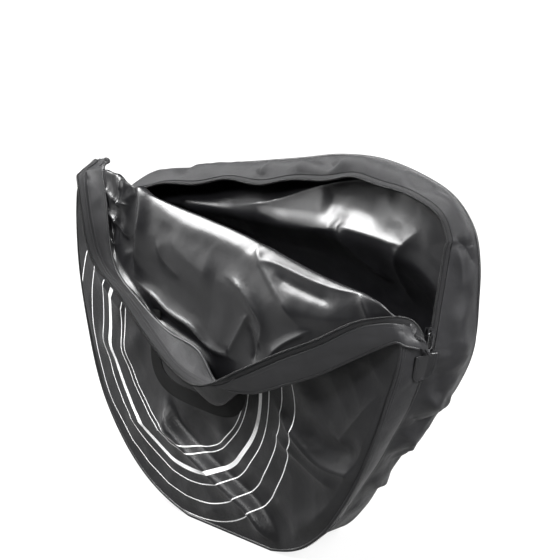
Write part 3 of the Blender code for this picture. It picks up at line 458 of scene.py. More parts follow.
def on_grid(grid: ndarray, row: float, x: float) -> ndarray:
    """The place on a grid's row, which may lie between two, where it crosses an x."""
    low = min(int(row), len(grid) - 2)
    line = grid[low] + (grid[low + 1] - grid[low]) * (row - low)
    line = line[np.argsort(line[:, 0])]
    return np.array([np.interp(x, line[:, 0], line[:, axis]) for axis in range(3)])


# Meshes


def label_piece(made: Object, slot: str, *nodes: str) -> None:
    """Hides the CAD nodes that a piece stands in for and logs its name."""
    if nodes:
        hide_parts(*nodes)
    LOG.info("%s", made.name)


def dress(made: Object, body: str, slot: str, *nodes: str) -> None:
    """Puts a piece on its body, in place of CAD nodes, which it hides.

    Args:
        made: The piece.
        body: The CAD body that it rides on.
        slot: The name of a material slot; not used.
        nodes: The CAD nodes that it stands for.
    """
    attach(made, body)
    label_piece(made, slot, *nodes)


def new_object(name: str, mesh: Mesh) -> Object:
    """A scene object for a mesh, at the origin."""
    made = bpy.data.objects.new(name, mesh)
    bpy.context.scene.collection.objects.link(made)
    return made


def quad_rows(rows: int, columns: int) -> ndarray:
    """The corner numbers of a grid's quads."""
    r, c = np.meshgrid(np.arange(rows - 1), np.arange(columns - 1), indexing="ij")
    first = r * columns + c
    return np.stack([first, first + 1, first + columns + 1, first + columns], axis=-1).reshape(-1, 4)


def fill_mesh(name: str, points: ndarray, faces: list, uv: Optional[ndarray] = None) -> Mesh:
    """A smooth mesh from places and faces, with an optional UV place for each point."""
    mesh = bpy.data.meshes.new(name)
    mesh.from_pydata(points.tolist(), [], faces)
    if uv is not None:
        layer = mesh.uv_layers.new(name="Cloth")
        corners = np.zeros(len(mesh.loops), dtype=np.int64)
        mesh.loops.foreach_get("vertex_index", corners)
        layer.data.foreach_set("uv", uv[corners].astype(np.float32).ravel())
    mesh.shade_smooth()
    return mesh


def flat_of(along: ndarray, across: ndarray) -> ndarray:
    """A cloth's own flat coordinates, from lengths along its rows and each row's distance across it."""
    return np.stack(np.broadcast_arrays(along[None], across.reshape(-1, 1)), axis=-1)


@dataclass(frozen=True)
class ClothSheet:
    """A sheet of cloth with a wall about a grid of places, its outside on the grid's right-hand side.

    The last column of a closed sheet repeats its first, so that the weave's coordinates run on to the join.
    """

    name: str
    grid: ndarray
    flat: ndarray
    wall: float
    outside: Material
    inside: Material
    closed: bool = False
    turned: bool = False

    def build(self) -> Object:
        """Makes the closed shell, with its outside in the first material and its inside in the second."""
        grid, flat = self.grid, self.flat
        if self.turned:
            grid, flat = grid[::-1], flat[::-1]
        half = grid_normals(grid, self.closed) * self.wall / 2
        rows, columns = grid.shape[:2]
        outer, inner = (grid + half).reshape(-1, 3), (grid - half).reshape(-1, 3)
        count = rows * columns
        quads = quad_rows(rows, columns)
        faces = [tuple(q) for q in quads.tolist()]
        faces += [tuple(q) for q in (quads[:, ::-1] + count).tolist()]
        faces += [(b, a, a + count, b + count) for a, b in self._border(rows, columns)]
        uv = np.tile(flat.reshape(-1, 2), (2, 1))
        mesh = fill_mesh(self.name, np.concatenate([outer, inner]), faces, uv)
        mesh.materials.append(self.outside)
        mesh.materials.append(self.inside)
        index = np.zeros(len(mesh.polygons), dtype=np.int32)
        index[len(quads) : 2 * len(quads)] = 1
        mesh.polygons.foreach_set("material_index", index)
        self._close_joins(mesh)
        return new_object(self.name, mesh)

    def _border(self, rows: int, columns: int) -> list:
        """Pairs of neighbouring places round the open edges, in the order of the outside's faces."""
        last = (rows - 1) * columns
        pairs = [(c, c + 1) for c in range(columns - 1)]
        pairs += [(last + c + 1, last + c) for c in range(columns - 1)]
        if not self.closed:
            pairs += [((r + 1) * columns, r * columns) for r in range(rows - 1)]
            pairs += [(r * columns + columns - 1, (r + 1) * columns + columns - 1) for r in range(rows - 1)]
        return pairs

    @staticmethod
    def _close_joins(mesh: Mesh) -> None:
        """Joins places that fall together at the tips of a panel and along the join of a closed sheet."""
        made = bmesh.new()
        made.from_mesh(mesh)
        bmesh.ops.remove_doubles(made, verts=made.verts, dist=1e-6)
        bmesh.ops.dissolve_degenerate(made, edges=made.edges, dist=1e-7)
        made.to_mesh(mesh)
        made.free()


def tube_points(path: ndarray, radii: ndarray, sides: int, closed: bool) -> ndarray:
    """Rings of places round a path that don't twist, rings first."""
    tangents = tangents_of(path, closed)
    side = unit(np.cross(tangents[0], np.eye(3)[int(np.argmin(np.abs(tangents[0])))]))
    frames = []
    for tangent in tangents:
        side = unit(side - tangent * (side @ tangent))
        frames.append(side)
    frames = np.array(frames)
    turn = 0.0
    if closed:
        last = unit(frames[-1] - tangents[0] * (frames[-1] @ tangents[0]))
        turn = math.atan2(float(np.cross(last, frames[0]) @ tangents[0]), float(last @ frames[0]))
    ups = np.cross(tangents, frames)
    shift = turn * np.arange(len(path)) / len(path)
    angles = np.linspace(0, 2 * math.pi, sides, endpoint=False)[None, :] + shift[:, None]
    ring = np.cos(angles)[..., None] * frames[:, None] + np.sin(angles)[..., None] * ups[:, None]
    return path[:, None] + ring * np.broadcast_to(radii, len(path))[:, None, None]


def ring_mesh(
    name: str, rings: ndarray, uv: Sequence, finish: Material, closed: bool = False, turned: bool = False
) -> Object:
    """A skin over rings of places, its ends capped unless it closes on itself.

    Args:
        name: The piece's name.
        rings: The places, rings first.
        uv: The lengths along the rings and the distances round each.
        finish: Its material.
        closed: Whether the last ring is joined to the first.
        turned: Whether the rings run the other way round.

    Returns:
        The new object.
    """
    count, sides = rings.shape[:2]
    way = -1 if turned else 1
    pairs = [(j, (j + 1) % sides)[::way] for j in range(sides)]
    faces = []
    for k in range(count if closed else count - 1):
        here, ahead = k * sides, (k + 1) % count * sides
        faces += [(here + a, here + b, ahead + b, ahead + a) for a, b in pairs]
    if not closed:
        faces += [tuple(range(sides))[::-way], tuple(range((count - 1) * sides, count * sides))[::way]]
    flat = np.stack(np.broadcast_arrays(uv[0][:, None], uv[1][None]), axis=-1).reshape(-1, 2)
    mesh = fill_mesh(name, rings.reshape(-1, 3), faces, flat)
    mesh.materials.append(finish)
    return new_object(name, mesh)


def add_tube(
    name: str, path: ndarray, radii, finish: Material, closed: bool = False, sides: int = 12
) -> Object:
    """A round cord along a path, its ends capped unless it closes on itself.

    Args:
        name: The piece's name.
        path: Places along its middle.
        radii: Its radius, or one for each place.
        finish: Its material.
        closed: Whether it runs back to its start.
        sides: How many sides it has.

    Returns:
        The new object.
    """
    rings = tube_points(path, np.asarray(radii, float), sides, closed)
    around = np.linspace(0, 2 * math.pi * float(np.mean(radii)), sides, endpoint=False)
    return ring_mesh(name, rings, (run_lengths(path), around), finish, closed)


# Finishes

MATH, MIX, NOISE, BUMP = "ShaderNodeMath", "ShaderNodeMix", "ShaderNodeTexNoise", "ShaderNodeBump"


def linear(hex_colour: str) -> tuple:
    """An sRGB hex colour as linear red, green, blue and alpha."""
    values = [int(hex_colour[k : k + 2], 16) / 255 for k in (1, 3, 5)]
    return tuple(v / 12.92 if v <= 0.04045 else ((v + 0.055) / 1.055) ** 2.4 for v in values) + (1.0,)


def set_inputs(tree: NodeTree, node: Node, inputs: dict) -> None:
    """Gives a node's inputs their values or links; a node given as a value stands for its first output."""
    for key, value in inputs.items():
        value = value.outputs[0] if isinstance(value, Node) else value
        if isinstance(value, NodeSocket):
            tree.links.new(value, node.inputs[key])
        else:
            node.inputs[key].default_value = value


def add_node(tree: NodeTree, kind: str, inputs: dict, **settings) -> Node:
    """A node with its settings, values and links.

    Args:
        tree: The tree it goes into.
        kind: Its type.
        inputs: Its inputs by name or number, as set_inputs takes them.
        settings: Its own properties.

    Returns:
        The new node.
    """
    node = tree.nodes.new(kind)
    for key, value in settings.items():
        setattr(node, key, value)
    set_inputs(tree, node, inputs)
    return node


def fresh_material(name: str) -> tuple:
    """A new material, its tree and its Principled shader."""
    made = bpy.data.materials.new(name)
    made.use_nodes = True
    return made, made.node_tree, made.node_tree.nodes["Principled BSDF"]


def weave_height(tree: NodeTree, uv: NodeSocket, pitch: float, rib: float) -> Node:
    """The height of a plain weave.

    Args:
        tree: The material's tree.
        uv: The cloth's own flat coordinates in metres.
        pitch: The width of one thread in metres.
        rib: How many times wider the threads are the other way.

    Returns:
        The node that gives the height from 0 to 1.
    """
    parts = add_node(tree, "ShaderNodeSeparateXYZ", {0: uv}).outputs
    waves = []
    for axis, width in (("X", pitch), ("Y", pitch * rib)):
        turn = add_node(tree, MATH, {0: parts[axis], 1: math.pi / width}, operation="MULTIPLY")
        waves.append(add_node(tree, MATH, {0: turn}, operation="SINE"))
    warp, weft = (add_node(tree, MATH, {0: wave}, operation="ABSOLUTE") for wave in waves)
    both = add_node(tree, MATH, dict(enumerate(waves)), operation="MULTIPLY")
    over = add_node(tree, MATH, {0: both, 1: 0.0}, operation="GREATER_THAN")
    return add_node(tree, MIX, {0: over, 2: warp, 3: weft}, data_type="FLOAT")


@dataclass(kw_only=True)
class Finish:
    """One surface of the bag, with patches of wear in its tone and gloss and a relief of its own."""

    name: str
    light: str
    # a finish without a dark tone has its light one, dulled
    dark: Optional[str] = None
    dulled_share: float = 0.7
    # the shares of wear at which the dark and the light tone are reached
    stops: tuple = (0.0, 1.0)
    roughness: float
    # how far the roughness wanders from patch to patch, the patches to the metre, and their finer layers
    wander: float = 0.2
    patches: float
    layers: float = 3.0
    strength: float = 0.5
    depth: float
    # the shader's inputs that are the same all over
    plain: tuple = ()

    def __post_init__(self) -> None:
        """Makes the material."""
        self.made, self.tree, shader = fresh_material(self.name)
        self.spots = add_node(self.tree, "ShaderNodeTexCoord", {}).outputs
        around = {"Vector": self.spots["Object"], "Scale": self.patches, "Detail": self.layers}
        self.wear = add_node(self.tree, NOISE, around)
        self.height = self.pattern()
        relief = {"Strength": self.strength, "Distance": self.depth, **self.relief()}
        rough = {0: self.wear, 1: self.wander, 2: self.roughness - self.wander / 2}
        surface = {
            "Base Color": self.tone(),
            "Roughness": add_node(self.tree, MATH, rough, operation="MULTIPLY_ADD"),
            "Normal": add_node(self.tree, BUMP, relief),
        }
        set_inputs(self.tree, shader, {**surface, **dict(self.plain)})

    def pattern(self) -> Node:
        """The height of the threads or ribs, or of the wear where there are none."""
        return self.wear

    def relief(self) -> dict:
        """The inputs of the relief: its height, and a finer relief under it."""
        return {"Height": self.height}

    def paleness(self) -> Node:
        """How pale the surface is."""
        return self.wear

    def tone(self) -> NodeSocket:
        """The colour, from dark to light."""
        light = linear(self.light)
        dark = linear(self.dark) if self.dark else tuple(v * self.dulled_share for v in light[:3]) + (1.0,)
        stops = {0: self.paleness(), 1: self.stops[0], 2: self.stops[1]}
        share = add_node(self.tree, "ShaderNodeMapRange", stops)
        return add_node(self.tree, MIX, {0: share, 6: dark, 7: light}, data_type="RGBA").outputs[2]


@dataclass(kw_only=True)
class WovenPolyester(Finish):
    """Dyed 600-denier woven polyester: matt black threads that turn grey where the light grazes them.

    The thread is 0.5 mm in life and drawn nearly three times as coarse, so that it shows in the picture.
    """

    name: str = "woven_polyester"
    dark: str = "#161618"
    light: str = "#232325"
    stops: tuple = (0.3, 0.75)
    roughness: float = 0.56
    wander: float = 0.12
    patches: float = 1 / 0.03
    layers: float = 4.0
    strength: float = 0.3
    depth: float = 0.004
    plain: tuple = (("Sheen Weight", 0.1), ("Sheen Roughness", 0.45), ("Specular IOR Level", 0.3))
    thread: float = 0.0014
    # the relief of the threads: its strength, and its depth as a share of their width
    thread_relief: tuple = (0.35, 0.35)
    # crumples to the metre, their finer layers and how much those count
    crumples: tuple = (42.0, 5.0, 0.55)

    def pattern(self) -> Node:
        """The height of the weave."""
        return weave_height(self.tree, self.spots["UV"], self.thread, 1.0)

    def crumpled(self) -> Node:
        """The height of the small crumples that handling leaves."""
        sizes = zip(("Vector", "Scale", "Detail", "Roughness"), (self.spots["Object"], *self.crumples))
        return add_node(self.tree, NOISE, dict(sizes))

    def relief(self) -> dict:
        """The crumples, with the threads under them."""
        strength, share = self.thread_relief
        threads = {"Strength": strength, "Distance": self.thread * share, "Height": self.height}
        return {"Height": self.crumpled(), "Normal": add_node(self.tree, BUMP, threads)}


@dataclass(kw_only=True)
class PrintedPolyester(WovenPolyester):
    """Smooth woven polyester with silk-screened white rings: a faint satin, with ink on its threads."""

    name: str = "printed_polyester"
    dark: str = "#111113"
    light: str = "#1a1a1c"
    stops: tuple = (0.32, 0.72)
    roughness: float = 0.42
    wander: float = 0.16
    patches: float = 26.0
    depth: float = 0.006
    plain: tuple = (("Sheen Weight", 0.05), ("Sheen Roughness", 0.5), ("Specular IOR Level", 0.42))
    thread: float = 0.0012
    thread_relief: tuple = (0.25, 0.3)
    crumples: tuple = (24.0, 4.0, 0.5)
    ink: str = "#ffffff"
    # where the rings' middle is on the panel's flat, and each ring's radius and width
    centre: tuple = (-0.105, -0.12)
    rings: tuple = (
        (0.148, 0.0016), (0.157, 0.0016), (0.186, 0.0072), (0.206, 0.0018), (0.236, 0.0018), (0.266, 0.0018),
    )

    def tone(self) -> NodeSocket:
        """The dye, with the ink of the rings over it."""
        tree = self.tree
        parts = add_node(tree, "ShaderNodeSeparateXYZ", {0: self.spots["UV"]}).outputs
        squares = []
        for axis, middle in zip("XY", self.centre):
            off = add_node(tree, MATH, {0: parts[axis], 1: middle}, operation="SUBTRACT")
            squares.append(add_node(tree, MATH, {0: off, 1: 2.0}, operation="POWER"))
        total = add_node(tree, MATH, dict(enumerate(squares)), operation="ADD")
        far = add_node(tree, MATH, {0: total}, operation="SQRT")
        ink = 0.0
        for radius, width in self.rings:
            ring = add_node(tree, MATH, {0: far, 1: radius, 2: width / 2}, operation="COMPARE")
            ink = add_node(tree, MATH, {0: ink, 1: ring}, operation="MAXIMUM")
        layers = {0: ink, 6: super().tone(), 7: linear(self.ink)}
        return add_node(tree, MIX, layers, data_type="RGBA").outputs[2]


@dataclass(kw_only=True)
class CoatedPolyester(WovenPolyester):
    """The polyurethane-coated inside of the cloth: black, with a gloss and small sharp creases."""

    name: str = "coated_polyester"
    dark: str = "#0e0e10"
    light: str = "#18181a"
    stops: tuple = (0.0, 1.0)
    roughness: float = 0.34
    wander: float = 0.16
    patches: float = 18.0
    layers: float = 3.0
    strength: float = 0.07
    depth: float = 0.01
    plain: tuple = (("Coat Weight", 0.2), ("Coat Roughness", 0.2))
    thread: float = 0.0012
    thread_relief: tuple = (0.1, 0.25)
    crumples: tuple = (12.0, 5.0, 0.5)
    # creases to the metre, the bends to the metre that move them and how far, and how wide and high they are
    creases: float = 15.0
    bends: float = 16.0
    bend_reach: float = 0.05
    crease_size: tuple = (0.16, 1.1)

    def crumpled(self) -> Node:
        """The height of the crumples, with sharp creases between them."""
        tree, place = self.tree, self.spots["Object"]
        bend = add_node(tree, NOISE, {"Vector": place, "Scale": self.bends, "Detail": 3.0}).outputs["Color"]
        bent = {0: bend, 1: (self.bend_reach,) * 3, 2: place}
        moved = add_node(tree, "ShaderNodeVectorMath", bent, operation="MULTIPLY_ADD")
        cells = {"Vector": moved, "Scale": self.creases}
        edges = add_node(tree, "ShaderNodeTexVoronoi", cells, feature="DISTANCE_TO_EDGE").outputs["Distance"]
        width, height = self.crease_size
        raised = add_node(tree, MATH, {0: edges, 1: width}, operation="MINIMUM")
        return add_node(tree, MATH, {0: raised, 1: height, 2: super().crumpled()}, operation="MULTIPLY_ADD")


@dataclass(kw_only=True)
class PipingCloth(Finish):
    """Binding tape sewn over cord: satin and puckered, with fine ribs across it."""

    name: str = "piping_binding"
    dark: str = "#121213"
    light: str = "#242426"
    roughness: float = 0.4
    patches: float = 90.0
    depth: float = 0.0012
    rib: float = 0.0022
    rib_share: float = 0.12

    def pattern(self) -> Node:
        """The height of the ribs on the puckered tape."""
        along = add_node(self.tree, "ShaderNodeSeparateXYZ", {0: self.spots["UV"]})
        turn = add_node(self.tree, MATH, {0: along, 1: 2 * math.pi / self.rib}, operation="MULTIPLY")
        ribs = add_node(self.tree, MATH, {0: turn}, operation="SINE")
        return add_node(self.tree, MATH, {0: ribs, 1: self.rib_share, 2: self.wear}, operation="MULTIPLY_ADD")


@dataclass(kw_only=True)
class RibbedTape(Finish):
    """Woven narrow fabric: knitted zip tape or polypropylene webbing, with ribs across its width."""

    wander: float = 0.1
    patches: float = 60.0
    layers: float = 4.0
    strength: float = 0.6
    rib: float
    # how much of the tone follows the ribs' height: painted shade in the grooves between them
    rib_share: float = 0.6

    def pattern(self) -> Node:
        """The height of the ribs, which run across the tape and are twice as long as wide."""
        return weave_height(self.tree, self.spots["UV"], self.rib, 0.5)

    def paleness(self) -> Node:
        """How pale the tape is: painted shade darkens the grooves between its ribs, and it is paler where
        worn.
        """
        worn = add_node(self.tree, MATH, {0: self.wear, 1: 1 - self.rib_share}, operation="MULTIPLY")
        # painted shade: the tone darkens with the ribs' height down into their grooves; the wear is real
        both = {0: self.height, 1: self.rib_share, 2: worn}
        return add_node(self.tree, MATH, both, operation="MULTIPLY_ADD")


@dataclass(kw_only=True)
class SmoothFinish(Finish):
    """A small moulded, drawn or cast finish, with the fine unevenness that handling leaves on it."""

    patches: float = 1 / 0.0012
    depth: float = 0.00008


class Finishes:
    """All of the bag's finishes, made once."""

    def __init__(self) -> None:
        """Makes the materials."""
        self.woven = WovenPolyester().made
        self.printed = PrintedPolyester().made
        self.coated = CoatedPolyester().made
        worn = (("Coat Weight", 0.1), ("Coat Roughness", 0.2))
        self.lining = CoatedPolyester(
            name="worn_coating", dark="#1b1b1d", light="#2a2a2c", roughness=0.5, plain=worn
        ).made
        self.piping = PipingCloth().made
        self.tape, self.webbing = (
            RibbedTape(
                name=name, dark=dark, light=light, roughness=roughness, rib=rib, depth=depth,
                plain=(("Sheen Weight", sheen), ("Specular IOR Level", 0.25)),
            ).made
            for name, dark, light, roughness, rib, depth, sheen in (
                ("knitted_zip_tape", "#0e0e0f", "#1b1b1d", 0.72, 0.0016, 0.0004, 0.08),
                ("polypropylene_webbing", "#030303", "#0a0a0a", 0.8, 0.0024, 0.0009, 0.0),
            )
        )
        self.coil, self.thread, self.metal, self.bright_metal = (
            SmoothFinish(name=name, light=light, roughness=roughness, plain=(("Metallic", metallic),)).made
            for name, light, roughness, metallic in (
                ("nylon_coil", "#1c1c1d", 0.35, 0.0),
                ("polyester_thread", "#3c3c3e", 0.55, 0.0),
                ("painted_zinc_alloy", "#4a4a4c", 0.35, 0.85),
                ("plated_steel_wire", "#9a9a9c", 0.25, 1.0),
            )
        )


# What repeats


class PathTree:
    """A Geometry Nodes tree that sets one small shape at an even pitch along a path of edges."""

    def __init__(self, name: str, radial_shape: bool) -> None:
        """Builds the tree.

        Args:
            name: The tree's name.
            radial_shape: True for a ring that the path runs through, False for a stitch that lies along it.
        """
        self.tree = tree = bpy.data.node_groups.new(name, "GeometryNodeTree")
        for label, way, kind in (
            ("Geometry", "INPUT", "Geometry"), ("Pitch", "INPUT", "Float"), ("Length", "INPUT", "Float"),
            ("Thickness", "INPUT", "Float"), ("Finish", "INPUT", "Material"),
            ("Geometry", "OUTPUT", "Geometry"),
        ):
            tree.interface.new_socket(label, in_out=way, socket_type=f"NodeSocket{kind}")
        given = add_node(tree, "NodeGroupInput", {}).outputs
        curve = add_node(tree, "GeometryNodeMeshToCurve", {"Mesh": given["Geometry"]})
        even = {"Curve": curve, "Length": given["Pitch"]}
        spaced = add_node(tree, "GeometryNodeResampleCurve", even, mode="LENGTH")
        run = add_node(tree, "GeometryNodeInputTangent", {})
        facing = add_node(tree, "FunctionNodeAlignEulerToVector", {"Vector": run}, axis="Z")
        shape = self._ring(given) if radial_shape else self._bead(given)
        placing = {"Points": spaced, "Instance": shape, "Rotation": facing}
        placed = add_node(tree, "GeometryNodeInstanceOnPoints", placing)
        real = add_node(tree, "GeometryNodeRealizeInstances", {"Geometry": placed})
        smooth = add_node(tree, "GeometryNodeSetShadeSmooth", {"Geometry": real})
        dressed = add_node(tree, "GeometryNodeSetMaterial", {"Geometry": smooth, "Material": given["Finish"]})
        add_node(tree, "NodeGroupOutput", {"Geometry": dressed})

    def _ring(self, given: Sequence) -> Node:
        """One turn of wire round the path."""
        hoops = []
        for sides, radius in ((9, given["Length"]), (4, given["Thickness"])):
            size = {"Resolution": sides, "Radius": radius}
            hoops.append(add_node(self.tree, "GeometryNodeCurvePrimitiveCircle", size, mode="RADIUS"))
        return add_node(self.tree, "GeometryNodeCurveToMesh", {"Curve": hoops[0], "Profile Curve": hoops[1]})

    def _bead(self, given: Sequence) -> Node:
        """One stitch, a slim bead along the path."""
        ball = add_node(self.tree, "GeometryNodeMeshUVSphere", {"Segments": 6, "Rings": 5, "Radius": 1.0})
        sides = {"X": given["Thickness"], "Y": given["Thickness"], "Z": given["Length"]}
        size = add_node(self.tree, "ShaderNodeCombineXYZ", sides)
        return add_node(self.tree, "GeometryNodeTransform", {"Geometry": ball, "Scale": size})

    def along(
        self, name: str, paths: Sequence, pitch: float, length: float, thickness: float, finish: Material
    ) -> Object:
        """Sets the shape along paths and returns the result as a plain mesh object.

        Args:
            name: The piece's name.
            paths: Lines of places, each joined by edges.
            pitch: The distance from one shape to the next.
            length: Half the stitch's length, or the ring's radius.
            thickness: Half the stitch's thickness, or the wire's radius.
            finish: The shape's material.

        Returns:
            The new object.
        """
        points, edges = [], []
        for path in paths:
            first = len(points)
            points += [tuple(p) for p in path]
            edges += [(first + k, first + k + 1) for k in range(len(path) - 1)]
        mesh = bpy.data.meshes.new(name + "_path")
        mesh.from_pydata(points, edges, [])
        holder = new_object(name, mesh)
        modifier = holder.modifiers.new("along", "NODES")
        modifier.node_group = self.tree
        values = {"Pitch": pitch, "Length": length, "Thickness": thickness, "Finish": finish}
        for item in self.tree.interface.items_tree:
            if item.item_type == "SOCKET" and item.in_out == "INPUT" and item.name in values:
                modifier[item.identifier] = values[item.name]
        bpy.context.view_layer.update()
        graph = bpy.context.evaluated_depsgraph_get()
        result = bpy.data.meshes.new_from_object(holder.evaluated_get(graph))
        holder.modifiers.clear()
        holder.data = result
        result.name = name
        return holder


class Sewing:
    """Thread and zip coils, set along the seams.

    A real lock stitch is 3 mm and a coil's turn 1.3 mm. These are coarser, so that they show.
    """

    SEAM_PITCH = 0.0042
    BOX_PITCH = 0.0034
    STITCH_SHARE = 0.36
    THREAD_RADIUS = 0.00042
    # the pitch and radius of a coil's turns, and the radius of their wire
    COIL_SIZES = (0.0026, 0.00155, 0.00055)

    def __init__(self, finishes: Finishes) -> None:
        """Builds the two trees.

        Args:
            finishes: The bag's finishes.
        """
        self.finishes = finishes
        self.stitch_tree = PathTree("stitches_along_path", False)
        self.coil_tree = PathTree("coil_turns_along_path", True)

    def stitches(self, name: str, paths: Sequence, body: str, pitch: float = SEAM_PITCH) -> Object:
        """Rows of lock stitches.

        Args:
            name: The piece's name.
            paths: The lines that they run along.
            body: The CAD body that they ride on, or an empty name to leave them on no body.
            pitch: The distance from one stitch to the next.

        Returns:
            The new object.
        """
        sizes = (pitch, pitch * self.STITCH_SHARE, self.THREAD_RADIUS)
        made = self.stitch_tree.along(name, paths, *sizes, self.finishes.thread)
        if body:
            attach(made, body)
            LOG.info("%s", name)
        return made

    def coil(self, name: str, path: ndarray) -> Object:
        """The turns of a nylon zip coil along one edge of a tape, about a cord that they wind round."""
        return self.coil_tree.along(name, [path], *self.COIL_SIZES, self.finishes.coil)


# The bag's parts


@dataclass(frozen=True)
class FrontPanel:
    """The printed lower front panel, pulled into a long crease that runs down to its right."""

    shape: BagShape
    finishes: Finishes
    columns: int = 300
    rows: int = 170
    folds: tuple = folds_from(
        (((-150, -190), (-126, -246), (-46, -283), (58, -328), (110, -395)), 4, -11, STEP),
        (((-155, -198), (-131, -254), (-51, -291), (53, -336), (105, -398)), 30, 12, SHARP),
        (((-110, -200), (-30, -255), (75, -305), (140, -370)), 26, -8),
        (((100, -125), (179, -193), (241, -214), (330, -205)), 14, 11, SHARP),
        (((100, -180), (183, -222), (255, -245)), 13, 8.5, SHARP),
        (((170, -150), (240, -178), (310, -160)), 18, -8),
        (((300, -250), (220, -300), (120, -345)), 20, 7),
        (((350, -60), (290, -130), (250, -170)), 20, 7.5, SHARP),
        (((160, 0), (170, -80), (230, -150)), 24, 7),
        (((-180, 10), (-150, -80), (-115, -170)), 22, 7.5),
        (((-60, -80), (-40, -170), (10, -240)), 20, 7),
        (((-330, -150), (-260, -160), (-200, -120)), 20, 6),
        (((-270, -270), (-180, -265), (-120, -250)), 16, 6, SHARP),
        (((-100, -385), (-20, -350), (40, -345)), 16, 6, SHARP),
        (((-350, -30), (-290, -80), (-250, -100)), 18, 5.5, SHARP),
    )

    # the broad crease: its ends as shares of the radius, its width, and half its height in the CAD model
    crease_ends: tuple = ((-0.24, -0.46), (0.42, -0.92))
    crease_width: float = 0.045
    crease_height: float = 0.004
    # where no fold stands out, behind the handle: the middle and the reach, across and up
    calm: tuple = ((-0.042, -0.13), (0.15, 0.085))

    def stand_out(self, x: ndarray, height: ndarray) -> ndarray:
        """How far the panel stands out from its seam: the CAD model's bulge, and half its broad crease."""
        shape = self.shape
        start, end = (np.array(place) * shape.radius for place in self.crease_ends)
        run = end - start
        aside, up = x - start[0], height - start[1]
        along = (aside * run[0] + up * run[1]) / float(run @ run)
        off = np.abs(run[0] * up - run[1] * aside) / np.linalg.norm(run)
        crease = np.exp(-((off / self.crease_width) ** 2)) * smooth_step(along / 0.3 + 0.5)
        crease = crease * smooth_step((1 - along) / 0.3)
        reach = np.maximum(1 - (x * x + height * height) / shape.radius**2, 0.0)
        below = smooth_step((shape.fold_height - height) / shape.bulge_fade)
        return (shape.front_bulge + self.crease_height * crease) * reach * below

    def build(self) -> None:
        """Makes the panel, with no fold standing out behind the front handle."""
        shape = self.shape
        piping = shape.front_piping_line(self.columns)
        middle = np.array([0.0, shape.front_y, shape.centre_z])
        border = piping + asides(piping, middle) * shape.piping_radius * 0.5
        top_height = shape.fold_height - 0.0007
        left, right = border[0, 0] + shape.tip_inset, border[-1, 0] - shape.tip_inset
        share = np.linspace(0, 1, self.rows + 1)[:, None]
        top_x = (left + (right - left) * spread(self.columns))[None, :]
        foot_x = border[:, 0][None, :]
        foot_height = np.minimum(border[:, 2] - shape.centre_z, top_height)[None, :]
        x = top_x + (foot_x - top_x) * share
        height = top_height + (foot_height - top_height) * share
        edge = smooth_step(share / 0.08) * smooth_step((1 - share) / 0.07)
        depth = shape.front_y - self.stand_out(x, height) * edge
        grid = np.stack([x, depth, shape.centre_z + height], axis=-1)
        lift = folded(self.folds, x, height)
        lift = lift + 0.0028 * noise_at(grid, 0.1) + 0.0016 * ridged_at(grid, 0.07, 2.0)
        (calm_x, calm_height), (wide, tall) = self.calm
        behind = np.exp(-(((x - calm_x) / wide) ** 6) - ((height - calm_height) / tall) ** 6)
        lift = np.where(lift > 0, lift * (1 - behind), lift)
        grid[..., 1] -= lift * edge
        flat = np.stack([x, height], axis=-1)
        cloth = (shape.wall, self.finishes.printed, self.finishes.coated)
        made = ClothSheet("front_panel_cloth", grid, flat, *cloth, turned=True).build()
        dress(made, "shell", "panel_cloth", "front_panel")


